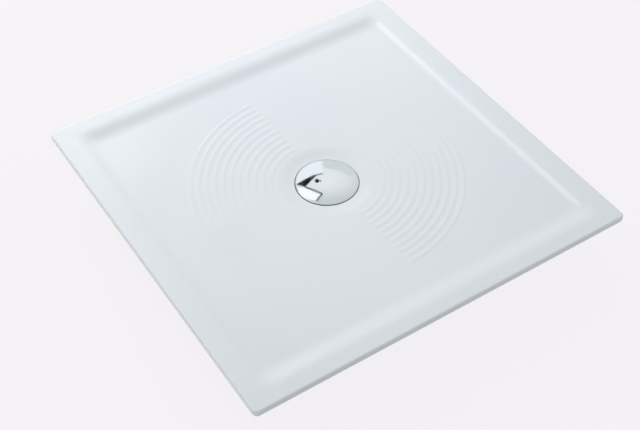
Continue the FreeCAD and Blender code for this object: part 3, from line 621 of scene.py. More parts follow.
# ---- Tray ----
@dataclass
class TrayShell:
    """The formed sheet: edge, rim, bevel, falling floor with two fans of ridges, and the waste seat.

    Heights named drop are counted down from the rim. The back's width and drop are those of the backing,
    which is a little wider and deeper than the visible bevel.
    """

    outer_corner: float = 10 * MM
    least_corner: float = 1.5 * MM
    sheet: float = 4 * MM
    lip_depth: float = 12 * MM
    lip_round: float = 1 * MM
    edge_round: float = 3.4 * MM
    rim_width: float = 38 * MM
    rim_steps: Triple = (3 * MM, 10 * MM, 18 * MM)
    bevel_width: float = 26 * MM
    bevel_drop: float = 9.5 * MM
    bevel_blend: float = 12 * MM
    bevel_rows: int = 30
    round_rows: int = 7
    back_width: float = 30 * MM
    back_drop: float = 10 * MM
    basin_corner: float = 26 * MM
    floor_corner: float = 20 * MM
    dish_margin: float = 46 * MM
    dish_drop: float = 12 * MM
    dish_blend: float = 26 * MM
    fall_drop: float = 23 * MM
    seat_radius: float = 64 * MM
    seat_depth: float = 11 * MM
    seat_wall: float = 3 * MM
    seat_round: float = 0.9 * MM
    seat_rows: int = 6
    seat_lip: float = 1 * MM
    dip_depth: float = 2.8 * MM
    dip_width: float = 34 * MM
    waste_hole: float = 45 * MM
    ridge_gap: float = 44.5 * MM
    ridge_margin: float = 26.5 * MM
    ridge_width: float = 12.5 * MM
    ridge_height: float = 0.55 * MM
    ridge_count: int = 11
    fan_middles: tuple[float, float] = (135.0, 315.0)
    fan_half: float = 43.0
    fan_fade: float = 2.5
    floor_rows: tuple[int, int, int, int] = (8, 180, 6, 14)
    side_points: int = 64
    corner_points: int = 14
    dense_points: tuple[int, int] = (400, 60)
    half: float = field(init=False)
    rim_z: float = field(init=False)

    def __post_init__(self) -> None:
        """Read the tray's side and the rim's height from the frame."""
        low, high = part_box("tray_shell")
        self.half = (high.x - low.x) / 2
        self.rim_z = high.z

    @property
    def foot_half(self) -> float:
        """Half the side of the square that the bevel's foot makes."""
        return self.half - self.rim_width - self.bevel_width

    @property
    def dish_radius(self) -> float:
        """Radius of the round dish."""
        return self.foot_half - self.dish_margin

    @property
    def seat_z(self) -> float:
        """Height of the waste seat."""
        return self.rim_z - self.fall_drop - self.seat_depth

    def loop(self, half: float, corner: float) -> np.ndarray:
        """Points of one rounded square of the grid."""
        return rounded_loop(half, corner, self.side_points, self.corner_points)

    def ridges(self, radius: np.ndarray, angle: np.ndarray) -> np.ndarray:
        """Height of the ridges: raised cosines across each crest, faded at the ends of the two fans.

        Args:
            radius: distances from the axis.
            angle: directions in degrees.

        Returns:
            Height over the plain floor.
        """
        first = self.seat_radius + self.ridge_gap
        pitch = (self.dish_radius - self.ridge_margin - first) / (self.ridge_count - 1)
        place = (radius - first) / pitch
        nearest = np.clip(np.round(place), 0, self.ridge_count - 1)
        across = np.clip(np.abs(place - nearest) * pitch / (self.ridge_width / 2), 0.0, 1.0)
        crest = (1 + np.cos(math.pi * across)) / 2
        fan = np.zeros_like(crest)
        for middle in self.fan_middles:
            off = np.abs((angle - middle + 180.0) % 360.0 - 180.0)
            fan = np.maximum(fan, smooth_step((self.fan_half - off) / self.fan_fade + 0.5))
        return self.ridge_height * crest * fan

    def foot_distance(self, angle: np.ndarray) -> np.ndarray:
        """Distance of the bevel's foot from the axis, read off a dense rounded square.

        Args:
            angle: directions in degrees.

        Returns:
            Distances.
        """
        foot = rounded_loop(self.foot_half, self.floor_corner, *self.dense_points)
        direction = np.degrees(np.arctan2(foot[:, 1], foot[:, 0]))
        order = np.argsort(direction)
        return np.interp(angle, direction[order], np.linalg.norm(foot, axis=1)[order], period=360.0)

    def surface(self, plan: np.ndarray, across: float = -1.0) -> np.ndarray:
        """Points of the upper side over plan places.

        The height is the sum of a cone that rises from the seat to the dish's edge, a straight rise from
        there to the bevel's foot, and the bevel. At each bend a parabola (change of slope) (w - d)^2 / 4w,
        with d the distance from the bend and w the blend's reach, rounds it. Round the seat the floor dips
        by a raised cosine of the distance from the seat's edge. The ridges are added.

        Args:
            plan: places, one a line.
            across: distance of the places beyond the bevel's foot; as it stands, far inside it.

        Returns:
            Points, one a line.
        """
        radius = np.linalg.norm(plan, axis=1)
        angle = np.degrees(np.arctan2(plan[:, 1], plan[:, 0]))
        foot = self.foot_distance(angle)
        dish = self.dish_radius
        fall = (self.fall_drop - self.dish_drop) / (dish - self.seat_radius)
        rise = (self.dish_drop - self.bevel_drop) / (foot - dish)
        slope = self.bevel_drop / self.bevel_width
        height = self.rim_z - self.fall_drop + fall * (np.minimum(radius, dish) - self.seat_radius)
        height = height + rise * (np.clip(radius, dish, foot) - dish)
        height = height + slope * np.clip(across, 0.0, self.bevel_width)
        bends = (
            (radius - dish, rise - fall, self.dish_blend),
            (across, slope - rise, self.bevel_blend),
            (across - self.bevel_width, -slope, self.bevel_blend),
        )
        for distance, change, reach in bends:
            height = height + change * np.maximum(reach - np.abs(distance), 0.0) ** 2 / (4 * reach)
        near = np.clip((radius - self.seat_radius) / self.dip_width, 0.0, 1.0)
        height = height - self.dip_depth * (1 + np.cos(math.pi * near)) / 2
        return np.column_stack([plan, height + self.ridges(radius, angle)])

    def bevel_loop(self, across: float) -> np.ndarray:
        """Rounded square at a distance beyond the bevel's foot, its corners widening from foot to rim."""
        share = min(max(across / self.bevel_width, 0.0), 1.0)
        corner = self.floor_corner + (self.basin_corner - self.floor_corner) * share
        corner += min(across, 0.0) - max(across - self.bevel_width, 0.0)
        return self.loop(self.foot_half + across, max(corner, 1 * MM))

    def spokes(self) -> np.ndarray:
        """Unit directions of the grid's columns, as seen from the axis."""
        inner = self.bevel_loop(-self.bevel_blend)
        return inner / np.linalg.norm(inner, axis=1)[:, None]

    def circles(self, profile: list[tuple[float, float]]) -> list[np.ndarray]:
        """Level rings at pairs of radius and height."""
        return [level_ring(self.spokes() * radius, height) for radius, height in profile]

    def floor_rings(self) -> list[np.ndarray]:
        """Rings of the floor from the seat's edge to where the bevel's blend starts."""
        dish = self.dish_radius
        first = self.seat_radius + self.ridge_gap - self.ridge_width
        last = dish - self.ridge_margin + self.ridge_width
        bounds = (self.seat_radius + self.seat_round, first, last, dish)
        spokes = self.spokes()
        rings = [self.surface(spokes * radius)
                 for start, end, rows in zip(bounds, bounds[1:], self.floor_rows)
                 for radius in np.linspace(start, end, rows, endpoint=False)]
        outer = self.bevel_loop(-self.bevel_blend)
        for share in np.linspace(0.0, 1.0, self.floor_rows[-1], endpoint=False):
            rings.append(self.surface(spokes * dish * (1 - share) + outer * share))
        return rings

    def bevel_rings(self) -> list[np.ndarray]:
        """Rings across the bevel and the blends at its foot and at the rim."""
        reach = self.bevel_blend
        return [self.surface(self.bevel_loop(across), across)
                for across in np.linspace(-reach, self.bevel_width + reach, self.bevel_rows)]

    def edge_rings(self) -> list[np.ndarray]:
        """Rings of the flat rim, its rounded outer edge, the lip's two sides and the underside of the rim."""
        rounding, bottom, small = self.edge_round, self.lip_depth, self.lip_round
        turn = np.linspace(0.0, math.pi / 2, self.round_rows)
        profile = [(self.rim_width - self.bevel_blend - step, 0.0) for step in self.rim_steps]
        profile += [(rounding - rounding * math.sin(a), rounding - rounding * math.cos(a)) for a in turn]
        profile += [
            (0.0, bottom - small),
            (small * 0.3, bottom - small * 0.3),
            (small, bottom),
            (self.sheet - small, bottom),
            (self.sheet - small * 0.3, bottom - small * 0.3),
            (self.sheet, bottom - small),
            (self.sheet, self.sheet + small),
            (self.sheet + small, self.sheet),
            (self.rim_width - 2 * small, self.sheet),
        ]
        rings = []
        for inset, drop in profile:
            if inset < self.outer_corner:
                corner = max(self.outer_corner - inset, self.least_corner)
            else:
                share = (inset - self.outer_corner) / (self.rim_width - self.outer_corner)
                corner = self.least_corner + (self.basin_corner - self.least_corner) * share
            rings.append(level_ring(self.loop(self.half - inset, corner), self.rim_z - drop))
        return rings

    def under_rings(self) -> list[np.ndarray]:
        """Rings of the underside from the rim to the waste hole, one sheet below the backing's bevel."""
        basin, under = self.half - self.rim_width, self.rim_z - self.sheet
        wall = self.seat_radius + self.seat_wall
        return [
            level_ring(self.loop(basin, self.basin_corner), under),
            level_ring(self.loop(basin - self.back_width, self.floor_corner), under - self.back_drop),
            *self.circles([
                (self.dish_radius, under - self.dish_drop),
                (wall, under - self.fall_drop),
                (wall, self.seat_z - self.sheet),
                (self.waste_hole, self.seat_z - self.sheet),
                (self.waste_hole, self.seat_z),
            ]),
        ]

    def seat_rings(self) -> list[np.ndarray]:
        """Rings of the seat from the hole's edge over its floor and wall to the rounded edge of the floor."""
        edge_z = self.rim_z - self.fall_drop - self.dip_depth
        small = self.seat_round
        wall = self.seat_radius - self.seat_lip
        turn = [(small * math.sin(a), small * math.cos(a))
                for a in np.linspace(0.0, math.pi / 2, self.seat_rows)]
        return self.circles(
            [(self.waste_hole + small, self.seat_z), (wall - 2 * small, self.seat_z)]
            + [(wall - small + sine, self.seat_z + small - cosine) for sine, cosine in turn]
            + [(wall + small - cosine, edge_z - small + sine) for sine, cosine in turn])

    def build(self) -> None:
        """Join all rings, inside out and back underneath, into one closed surface, and seat it."""
        points = np.stack(self.seat_rings() + self.floor_rings() + self.bevel_rings() + self.edge_rings()
                          + self.under_rings())
        quads = grid_faces(points.shape[0], points.shape[1], True)
        seat(mesh_object("shell_surface", points, quads[:, ::-1].tolist()), "root", ACRYLIC, "tray_shell")


# ---- Waste cover ----
@dataclass
class WasteCover:
    """Thin polished dome with a turned-down edge."""

    rise: float = 5.2 * MM
    sheet: float = 1.4 * MM
    edge_round: float = 1.3 * MM
    under_points: int = 22
    over_points: int = 40
    hem_points: int = 9
    roll_points: int = 12
    segments: int = 160

    def build(self) -> None:
        """Turn the section: two arcs of one centre, joined by the rolled edge and the hemmed skirt.

        The rolled edge is an arc of radius r that touches the skirt's cylinder R and the dome's sphere S,
        which it meets at the distance (R - r) / (1 - r / S) from the axis.
        """
        low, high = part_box("waste_cover")
        radius = (high.x - low.x) / 2
        sphere = (radius ** 2 + self.rise ** 2) / (2 * self.rise)
        centre = high.z - sphere
        roll = self.edge_round
        meet = (radius - roll) / (1 - roll / sphere)
        tilt = math.asin(meet / sphere)
        roll_z = centre + (sphere - roll) * math.cos(tilt)
        under = np.linspace(0.0, radius - 2 * self.sheet, self.under_points)
        over = np.linspace(meet, 0.0, self.over_points)
        lower = np.column_stack([under, centre + np.sqrt((sphere - self.sheet) ** 2 - under ** 2)])
        upper = np.column_stack([over, centre + np.sqrt(sphere ** 2 - over ** 2)])
        turn = np.linspace(0.0, math.pi, self.hem_points)
        hem = self.sheet / 2
        skirt = np.column_stack([radius - hem - hem * np.cos(turn), low.z + hem - hem * np.sin(turn)])
        bend = np.linspace(math.pi / 2, tilt, self.roll_points)[:-1]
        shoulder = np.column_stack([radius - roll + roll * np.sin(bend), roll_z + roll * np.cos(bend)])
        profile = np.concatenate([lower, skirt, shoulder, upper])
        seat(lathe("cover_dome", profile, self.segments), "cover", COVER, "waste_cover")


# ---- Levelling feet ----
@dataclass
class LevellingFeet:
    """Four feet: socket, threaded rod, lock nut, pad and the screws of the socket."""

    axis: float = 260 * MM
    rod_radius: float = 6 * MM
    thread_pitch: float = 1.75 * MM
    thread_depth: float = 0.95 * MM
    thread_steps: int = 8
    rod_columns: int = 32
    rod_chamfer: float = 1 * MM
    nut_flats: float = 19 * MM
    nut_columns: int = 96
    nut_face: float = 9.1 * MM
    nut_flare: float = 0.7 * MM
    pad_radius: float = 25 * MM
    pad_edge: float = 5 * MM
    pad_hub: float = 10 * MM
    pad_neck: tuple[float, float] = (2.2 * MM, 3.2 * MM)
    pad_height: float = 18 * MM
    pad_floor: float = 5 * MM
    pad_round: float = 1.1 * MM
    pad_columns: int = 72
    bore_gap: float = 0.1 * MM
    screw_offset: float = 20 * MM
    screw_head: float = 4.6 * MM
    screw_head_height: float = 2.6 * MM
    screw_crown: float = 1 * MM
    screw_shank: float = 2.2 * MM
    screw_point: float = 2 * MM
    screw_tip: float = 0.3 * MM
    screw_edge: float = 0.25 * MM
    screw_eye: float = 0.1 * MM
    screw_rows: int = 20
    screw_columns: int = 48
    recess_width: float = 1.1 * MM
    recess_length: float = 5.2 * MM
    recess_depth: float = 1.5 * MM
    recess_wall: float = 0.3 * MM
    rib_bearings: tuple[float, ...] = (45.0, 90.0, 135.0, 225.0, 270.0, 315.0)
    rib_inner: float = 12 * MM
    rib_outer: float = 23 * MM
    rib_depth: float = 8.5 * MM
    rib_width: float = 2.2 * MM
    rib_least: float = 0.15 * MM
    rib_sunk: float = 0.2 * MM
    rib_rows: int = 9

    @property
    def bore(self) -> float:
        """Radius of a hole that the rod turns in."""
        return self.rod_radius + self.bore_gap

    def centre(self, corner: str) -> tuple[float, float]:
        """Place of a foot's axis in plan."""
        return CORNERS[corner][0] * self.axis, CORNERS[corner][1] * self.axis

    def rod(self, low: float, high: float) -> Patch:
        """Threaded rod: r = R - depth * w, with w the flank wave of the turn z / pitch - a / 360 degrees.

        The wave is 0 over an eighth of the pitch at the crest and 1 over an eighth at the root. Both ends
        are chamfered.

        Args:
            low: height of the lower end.
            high: height of the upper end.

        Returns:
            The patch, about the origin.
        """
        angle = turn_angles(self.rod_columns)[None, :]
        steps = int((high - low) / self.thread_pitch * self.thread_steps) + 1
        height = np.linspace(low, high, steps)[:, None]
        turn = (height / self.thread_pitch - angle / FULL_TURN) % 1.0
        wave = np.clip((np.abs(2 * turn - 1) - 0.125) / 0.75, 0.0, 1.0)
        radius = self.rod_radius - self.thread_depth * wave
        ends = np.minimum(height - low, high - height)
        radius = np.minimum(radius, self.rod_radius - self.rod_chamfer + ends)
        return grid_patch(ring_points(radius, height, angle), False)

    def nut(self, low: float, high: float) -> Patch:
        """Hexagon nut: r = (flats / 2) / cos(a mod 60 - 30), its corners cut back by cones of 30 degrees.

        Args:
            low: height of the lower face.
            high: height of the upper face.

        Returns:
            The patch, about the origin.
        """
        angle = turn_angles(self.nut_columns)
        side = self.nut_flats / 2 / np.cos(np.radians(np.degrees(angle) % 60.0 - 30.0))
        cut = np.maximum(side - self.nut_face, 0.0) * math.tan(math.radians(30.0))
        bore, flare = self.bore, self.nut_flare
        profile = (
            (bore, low + flare),
            (bore + flare, low),
            (self.nut_face, low),
            (side, low + cut),
            (side, high - cut),
            (self.nut_face, high),
            (bore + flare, high),
            (bore, high - flare),
        )
        return grid_patch(np.stack([ring_points(radius, height, angle) for radius, height in profile]), True)

    def screw(self, low: float, end: float) -> Patch:
        """Pan-head screw seen from below, with a cross recess.

        The head's lower face rises towards its edge with the fourth power of r; each arm of the recess lifts
        it by the depth, with smooth walls.

        Args:
            low: height of the head's lower face.
            end: height of the shank's end.

        Returns:
            The patch, about the origin.
        """
        angle = turn_angles(self.screw_columns)[None, :]
        radius = np.linspace(self.screw_eye, self.screw_head - self.screw_edge, self.screw_rows)[:, None]
        x, y = radius * np.cos(angle), radius * np.sin(angle)
        wall = self.recess_wall
        arms = [smooth_step((self.recess_width / 2 + wall - np.abs(u)) / wall)
                * smooth_step((self.recess_length / 2 - np.abs(v)) / wall) for u, v in ((x, y), (y, x))]
        face = low + self.screw_crown * (radius / self.screw_head) ** 4
        face = face + self.recess_depth * np.maximum(*arms) * (1 - 0.3 * radius / self.screw_head)
        seat_z = low + self.screw_head_height
        outer = (
            (self.screw_head, low + self.screw_crown + self.screw_tip),
            (self.screw_head, seat_z),
            (self.screw_shank, seat_z),
            (self.screw_shank, end - self.screw_point),
            (self.screw_tip, end),
        )
        rings = [ring_points(radius, face, angle)] + [ring_points(r, z, angle) for r, z in outer]
        return grid_patch(np.concatenate(rings), False)

    def rib(self, bearing: float, plate: float) -> Patch:
        """Gusset between the socket's boss and its plate: a slim rectangle that grows shallower outwards.

        At the share t of its length the rib hangs (1 - t)^1.3 of its depth below the plate, and its width
        keeps a draft of a fifth.

        Args:
            bearing: direction in degrees.
            plate: height of the plate's lower face.

        Returns:
            The patch, about the origin.
        """
        share = np.linspace(0.0, 1.0, self.rib_rows)[:, None]
        reach = self.rib_inner + (self.rib_outer - self.rib_inner) * share
        hang = self.rib_depth * (1 - share) ** 1.3 + self.rib_least
        side = np.array([[0.5, -0.5, -0.4, 0.4]]) * self.rib_width
        below = np.array([[0.0, 0.0, 1.0, 1.0]])
        turn = math.radians(bearing)
        points = np.stack([
            reach * math.cos(turn) - side * math.sin(turn),
            reach * math.sin(turn) + side * math.cos(turn),
            plate - hang * below + self.rib_sunk * (1 - below),
        ], axis=-1)
        return grid_patch(points, False)

    def pad(self, corner: str) -> bpy.types.Object:
        """Turned pad with soft edges.

        Args:
            corner: which foot.

        Returns:
            The piece.
        """
        profile = fillet_profile([
            (0.0, 0.0),
            (self.pad_radius, 0.0),
            (self.pad_radius, self.pad_edge),
            (self.pad_hub + self.pad_neck[0], self.pad_height - self.pad_neck[1]),
            (self.pad_hub, self.pad_height),
            (self.bore, self.pad_height),
            (self.bore, self.pad_floor),
            (0.0, self.pad_floor),
        ], self.pad_round)
        return lathe("pad_" + corner, profile, self.pad_columns, self.centre(corner))

    def build(self) -> None:
        """Build and seat the pieces of all four feet."""
        rod_low, rod_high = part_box("foot_rod_front_left")
        nut_low, nut_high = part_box("foot_lock_nuts")
        screw_low, screw_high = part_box("socket_screws")
        rod = self.rod(rod_low.z, rod_high.z)
        nut = self.nut(nut_low.z, nut_high.z)
        screw = self.screw(screw_low.z, screw_high.z)
        ribs = [self.rib(bearing, screw_low.z + self.screw_head_height) for bearing in self.rib_bearings]
        for corner in CORNERS:
            x, y = self.centre(corner)
            seat(joined("threaded_rod_" + corner, [rod.moved(x, y)]), "rod_" + corner, ZINC,
                 "foot_rod_" + corner)
            seat(self.pad(corner), "pad_" + corner, PAD, "foot_pad_" + corner)
            seat(softened("socket_" + corner, "foot_socket_" + corner, 0.8 * MM, 3), "root", SOCKET,
                 "foot_socket_" + corner)
            seat(joined("socket_ribs_" + corner, [rib.moved(x, y) for rib in ribs]), "root", SOCKET)
        places = [self.centre(corner) for corner in CORNERS]
        seat(joined("lock_nuts", [nut.moved(*place) for place in places]), "root", ZINC, "foot_lock_nuts")
        sides = [(x + side * self.screw_offset, y) for x, y in places for side in (-1, 1)]
        seat(joined("pan_head_screws", [screw.moved(*place) for place in sides]), "root", ZINC,
             "socket_screws")


# ---- Trap details ----
@dataclass
class TrapDetails:
    """Moulded details on the trap: the outlet's thread, the grip under the mouth and the bottom's ring."""

    outlet_height: float = 40 * MM
    outlet_radius: float = 24.7 * MM
    thread_start: float = 70 * MM
    thread_end: float = 95 * MM
    thread_pitch: float = 3.2 * MM
    thread_rise: float = 0.25 * MM
    thread_grid: tuple[int, int] = (80, 72)
    fade: float = 3 * MM
    sunk: float = 1 * MM
    pot_radius: float = 50 * MM
    grip_radius: float = 54 * MM
    grip_low: float = 65 * MM
    grip_high: float = 76.6 * MM
    grip_count: int = 36
    grip_rows: int = 10
    grip_columns: int = 360
    grip_proud: float = 0.05 * MM
    ring_inner: float = 30 * MM
    ring_outer: float = 34 * MM
    ring_drop: float = 0.8 * MM
    ring_grid: tuple[int, int] = (9, 96)

    def thread(self) -> Patch:
        """Rounded thread along +Y: r = R + rise * (1.6 e cos(360 y / pitch - a) - 0.6), e 0 at its ends.

        Returns:
            The patch.
        """
        rows, columns = self.thread_grid
        angle = turn_angles(columns)[None, :]
        along = np.linspace(self.thread_start, self.thread_end, rows)[:, None]
        wave = np.cos(FULL_TURN * along / self.thread_pitch - angle)
        ends = smooth_step(np.minimum(along - self.thread_start, self.thread_end - along) / self.fade)
        radius = self.outlet_radius + self.thread_rise * (1.6 * ends * wave - 0.6)
        inside = np.full_like(angle, self.outlet_radius - self.sunk)
        radius = np.concatenate([inside, radius, inside])
        along = np.concatenate([along[:1], along, along[-1:]])
        radius, along, angle = np.broadcast_arrays(radius, along, angle)
        up = self.outlet_height + radius * np.cos(angle)
        return grid_patch(np.stack([radius * np.sin(angle), along, up], axis=-1), True)

    def grip(self) -> Patch:
        """Ring of rounded ribs under the mouth: r = R + (G - R) max(cos(n a), 0)^0.6, lower at its foot.

        Returns:
            The patch.
        """
        angle = turn_angles(self.grip_columns)[None, :]
        height = np.linspace(self.grip_low, self.grip_high, self.grip_rows)[:, None]
        rib = np.maximum(np.cos(self.grip_count * angle), 0.0) ** 0.6
        slope = np.clip((height - self.grip_low) / self.fade, 0.0, 1.0)
        outer = self.pot_radius + (self.grip_radius - self.pot_radius) * rib * slope + self.grip_proud
        inner = np.full_like(angle, self.pot_radius - self.sunk)
        height = np.concatenate([height[:1], height, height[-1:]])
        return grid_patch(ring_points(np.concatenate([inner, outer, inner]), height, angle), True)

    def bottom_ring(self, low: float) -> Patch:
        """Half-round ring under the pot.

        Args:
            low: height of the pot's bottom.

        Returns:
            The patch.
        """
        middle = (self.ring_inner + self.ring_outer) / 2
        half = (self.ring_outer - self.ring_inner) / 2
        rows, columns = self.ring_grid
        turn = np.linspace(math.pi, FULL_TURN, rows)[:, None]
        height = low + self.ring_drop * np.sin(turn)
        return grid_patch(ring_points(middle + half * np.cos(turn), height, turn_angles(columns)), True)

    def build(self) -> None:
        """Build and seat the details."""
        low, _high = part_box("trap_body")
        seat(joined("outlet_thread", [self.thread()]), "root", TRAP)
        seat(joined("trap_grip", [self.grip(), self.bottom_ring(low.z)]), "root", TRAP)


# ---- Pieces with the model's own shape and softer edges ----
@dataclass(frozen=True)
class SoftPiece:
    """A node whose copy gets broken edges and a finish."""

    name: str
    node: str
    body: str
    finish: Finish
    edge: float
    segments: int = 2

    def build(self) -> None:
        """Make the copy and seat it."""
        seat(softened(self.name, self.node, self.edge, self.segments), self.body, self.finish, self.node)


SOFT_PIECES = (
    SoftPiece("laminate_backing", "backing", "root", LAMINATE, 1.6 * MM, 3),
    SoftPiece("stiffening_board", "base_board", "root", BOARD, 0.5 * MM),
    SoftPiece("flange_plate", "waste_flange", "root", FLANGE, 0.4 * MM, 3),
    SoftPiece("flange_ring", "flange_seal", "root", SEAL, 0.3 * MM),
    SoftPiece("trap_ring", "body_seal", "root", SEAL, 0.3 * MM),
    SoftPiece("trap_pot", "trap_body", "root", TRAP, 0.6 * MM, 3),
    SoftPiece("outlet_ring", "outlet_seal", "root", SEAL, 0.3 * MM),
    SoftPiece("outlet_grip_nut", "outlet_nut", "root", NUT, 0.8 * MM, 3),
    SoftPiece("dip_funnel", "dip_tube", "waste_insert", INSERT, 0.35 * MM, 3),
    SoftPiece("funnel_ring", "dip_tube_seal", "waste_insert", SEAL, 0.3 * MM),
    SoftPiece("hair_basket", "strainer_basket", "waste_insert", INSERT, 0.25 * MM),
    SoftPiece("cover_carrier", "cover_spider", "cover", INSERT, 0.35 * MM, 3),
)


# ---- Studio ----
def stage_glow(made: bpy.types.Object, colour: Triple, *unseen_by: str) -> None:
    """Make a thing of the studio glow evenly, and hide it from some kinds of rays.

    Args:
        made: the object.
        colour: of the glow.
        unseen_by: kinds of rays that pass it.
    """
    graph = Graph(bpy.data.materials.new(made.name))
    graph.shade("Emission", {"Color": colour})
    made.data.materials.append(graph.owner)
    for kind in unseen_by:
        setattr(made, "visible_" + kind, False)


def level_sheet(name: str, low: tuple[float, float], high: tuple[float, float],
                height: float) -> bpy.types.Object:
    """Level rectangle that faces up.

    Args:
        name: the object's name.
        low: its least X and Y.
        high: its greatest X and Y.
        height: its height.

    Returns:
        The object.
    """
    plan = np.array([low, (high[0], low[1]), high, (low[0], high[1])])
    return mesh_object(name, level_ring(plan, height), [[0, 1, 2, 3]])


@dataclass(frozen=True)
class StudioCard:
    """A flat thing of the studio that only reflections see, such as a softbox or a black flag.

    Its outline is a list of directions from the tray, each a bearing from +X and an elevation in degrees.
    """

    name: str
    colour: Triple
    outline: tuple[tuple[float, float], ...]
    reach: float = 4.0

    def build(self) -> None:
        """Put a face through the outline's directions, each followed for the reach."""
        bearing, elevation = np.radians(np.array(self.outline)).T
        points = self.reach * ring_points(np.cos(elevation), np.sin(elevation), bearing)
        made = mesh_object(self.name, points, [list(range(len(points)))])
        stage_glow(made, self.colour, "camera", "diffuse", "shadow", "transmission")


DARK = (0.012, 0.012, 0.014)
DIM = (0.06, 0.06, 0.07)
STUDIO_CARDS = (
    StudioCard("studio_flag", DARK, ((78.9, 44.5), (65.0, 40.1), (63.9, 41.4), (74.4, 49.2))),
    StudioCard("studio_flag_arm", (0.2, 0.2, 0.22), ((65.6, 40.2), (59.7, 39.4), (59.8, 40.4), (65.0, 41.7))),
    StudioCard("studio_box_side", DIM, ((74.4, 48.5), (61.9, 57.2), (62.7, 58.6), (75.1, 49.9))),
    StudioCard("studio_box_end", DIM, ((64.4, 57.1), (61.5, 58.0), (69.2, 63.0), (71.4, 61.9))),
    StudioCard("studio_box_face", (1.15, 1.15, 1.17),
               ((79.8, 47.2), (74.8, 49.7), (63.2, 58.3), (71.1, 62.3), (78.2, 59.3), (81.6, 53.2))),
    StudioCard("studio_lens", DARK,
               ((66.1, 46.1), (65.6, 47.5), (64.4, 48.1), (63.2, 47.5), (62.7, 46.1), (63.2, 44.7),
                (64.4, 44.1), (65.6, 44.7))),
    StudioCard("studio_finder", DARK, ((62.6, 47.2), (61.6, 47.2), (61.6, 46.0), (62.6, 46.0))),
    StudioCard("studio_bounce", (0.99, 1.01, 1.06),
               ((79.0, 43.7), (72.3, 31.8), (65.3, 26.5), (59.6, 25.3), (59.8, 39.5), (65.0, 39.8))),
    StudioCard("studio_edge", (0.74, 0.78, 0.78),
               ((58.5, 25.5), (50.5, 26.2), (40.3, 36.9), (43.1, 39.6), (51.0, 36.6), (58.7, 34.4))),
    StudioCard("studio_wall_light", (2.5, 2.55, 2.56),
               ((83.0, 49.0), (83.0, 72.0), (120.0, 72.0), (118.0, 49.0)), reach=40.0),
)


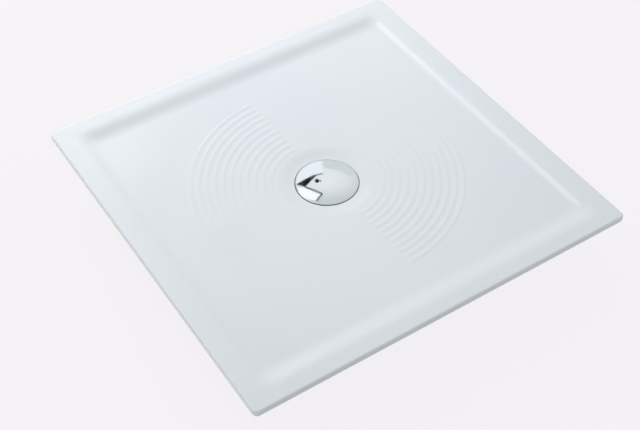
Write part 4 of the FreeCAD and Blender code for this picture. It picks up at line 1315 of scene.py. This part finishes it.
@dataclass
class Studio:
    """Pale floor, soft lamp and the camera of the photograph.

    The camera's place is in shares of the tray's side, counted from the middle of the rim's plane.
    """

    lens: float = 68.906
    place: Triple = (-1.1307, -1.7652, 2.0684)
    azimuth: float = -32.140
    elevation: float = 46.585
    roll: float = -1.013
    floor_half: float = 12.0
    floor_colour: Triple = (0.86, 0.85, 0.86)
    backdrop: Triple = (0.921, 0.899, 0.925)
    backdrop_share: float = 0.95
    world_strength: float = 0.62
    glossy_high: float = 0.94
    glossy_low: float = 0.35
    dim_side: Triple = (-0.53, -0.85, 0.0)
    dim_span: tuple[float, float] = (-0.1, 1.0)
    bright_spot: Triple = (0.366, 0.633, 0.682)
    spot_inner: float = 5.0
    spot_outer: float = 19.0
    veil: Triple = (0.72, 0.755, 0.765)
    flag_gap: tuple[float, float] = (3 * MM, 4 * MM)
    flag_reach: float = 100 * MM
    flag_glow: Triple = (0.28, 0.29, 0.3)
    lamp_power: float = 29.0
    lamp_size: float = 1.3
    lamp_place: Triple = (-0.07, 1.86, 1.35)
    lamp_aim: Triple = (0.0, 0.0, 0.1)

    def camera(self, side: float, rim_z: float) -> None:
        """Place the camera.

        Args:
            side: side of the tray.
            rim_z: height of the rim.
        """
        data = bpy.data.cameras.new("camera")
        data.lens = self.lens
        data.sensor_width = 36.0
        data.sensor_fit = "HORIZONTAL"
        data.clip_end = 50.0
        made = bpy.data.objects.new("camera", data)
        bpy.context.scene.collection.objects.link(made)
        azimuth, elevation, roll = (math.radians(a) for a in (self.azimuth, self.elevation, self.roll))
        back = Vector((math.sin(azimuth) * math.cos(elevation), -math.cos(azimuth) * math.cos(elevation),
                       math.sin(elevation)))
        right = (-back).cross(Vector((0, 0, 1))).normalized()
        up = right.cross(-back)
        cosine, sine = math.cos(roll), math.sin(roll)
        axes = Matrix((right * cosine + up * sine, up * cosine - right * sine, back)).transposed().to_4x4()
        axes.translation = Vector(self.place) * side + Vector((0, 0, rim_z))
        made.matrix_world = axes
        bpy.context.scene.camera = made

    def floor(self) -> None:
        """Wide pale floor that the camera and reflections see as near white, and that is clear from below."""
        half = self.floor_half
        made = level_sheet("studio_floor", (-half, -half), (half, half), 0.0)
        graph = Graph(bpy.data.materials.new("studio_floor"))
        path = graph.node("LightPath").outputs
        seen = graph.combine("MAXIMUM", path["Is Camera Ray"], path["Is Glossy Ray"])
        mixed = graph.node("MixShader", {
            "Fac": graph.combine("MULTIPLY", seen, self.backdrop_share),
            1: graph.node("BsdfDiffuse", {"Color": self.floor_colour}).outputs["BSDF"],
            2: graph.node("Emission", {"Color": self.backdrop}).outputs["Emission"],
        })
        behind = graph.node("NewGeometry").outputs["Backfacing"]
        graph.shade("MixShader", {
            "Fac": graph.combine("MULTIPLY", behind, path["Is Camera Ray"]),
            1: mixed.outputs["Shader"],
            2: graph.node("BsdfTransparent").outputs["BSDF"],
        })
        made.data.materials.append(graph.owner)

    def lamp(self) -> None:
        """Square area lamp behind the tray, which reflections don't see."""
        data = bpy.data.lights.new("key", "AREA")
        data.energy = self.lamp_power
        data.size = self.lamp_size
        made = bpy.data.objects.new("key", data)
        bpy.context.scene.collection.objects.link(made)
        made.location = self.lamp_place
        aim = Vector(self.lamp_aim) - Vector(self.lamp_place)
        made.rotation_euler = aim.to_track_quat("-Z", "Y").to_euler()
        made.visible_glossy = False

    def world(self) -> None:
        """Even pale surroundings; polished metal sees them paler still, and dim on the camera's side.

        The brightness that reflections see falls from high to low with the dot product of the direction and
        the level unit vector that points to the dim side. A veil dims it further away from one bright spot.
        """
        world = bpy.data.worlds.new("studio")
        bpy.context.scene.world = world
        graph = Graph(world, "OutputWorld")
        path = graph.node("LightPath").outputs
        camera, glossy = path["Is Camera Ray"], path["Is Glossy Ray"]
        direction = graph.node("TexCoord").outputs["Generated"]
        toward, spot = (graph.node("VectorMath", {0: direction, 1: axis}, operation="DOT_PRODUCT")
                        .outputs["Value"] for axis in (self.dim_side, self.bright_spot))
        inner, outer = (math.cos(math.radians(a)) for a in (self.spot_inner, self.spot_outer))
        veiled = graph.combine("MULTIPLY", graph.range(spot, 0.0, 1.0, inner, outer), glossy)
        colour = graph.node("CombineColor", {
            channel: graph.range(camera, graph.range(veiled, 1.0, self.veil[channel], 0.0, 1.0),
                                 self.backdrop[channel] / self.backdrop[1], 0.0, 1.0)
            for channel in range(3)
        })
        plain = graph.range(camera, self.world_strength, self.backdrop[1], 0.0, 1.0)
        seen = graph.range(toward, self.glossy_high, self.glossy_low, *self.dim_span,
                           interpolation_type="SMOOTHSTEP")
        graph.shade("Background", {
            "Color": colour.outputs["Color"],
            "Strength": graph.range(glossy, plain, seen, 0.0, 1.0),
        })

    def edge_flag(self, shell: TrayShell) -> None:
        """Dark strip just under and before the front edge, which only soft light meets: it shades the edge.

        Args:
            shell: the tray, for its size.
        """
        before, under = self.flag_gap
        front = -shell.half
        made = level_sheet("studio_edge_flag", (front, front - self.flag_reach), (-front, front - before),
                           shell.rim_z - shell.lip_depth - under)
        stage_glow(made, self.flag_glow, "camera", "glossy", "shadow", "transmission")

    def build(self, shell: TrayShell) -> None:
        """Set up the whole studio.

        Args:
            shell: the tray, for its size.
        """
        self.camera(2 * shell.half, shell.rim_z)
        self.floor()
        self.world()
        self.edge_flag(shell)
        for card in STUDIO_CARDS:
            card.build()
        self.lamp()
        bpy.context.scene.view_settings.view_transform = "Standard"


def main() -> None:
    """Build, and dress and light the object."""
    logging.basicConfig(level=logging.INFO, format="%(name)s: %(message)s")
    shell = TrayShell()
    for part in (shell, WasteCover(), LevellingFeet(), TrapDetails(), *SOFT_PIECES):
        part.build()
    Studio().build(shell)


if __name__ == "__main__":
    main()
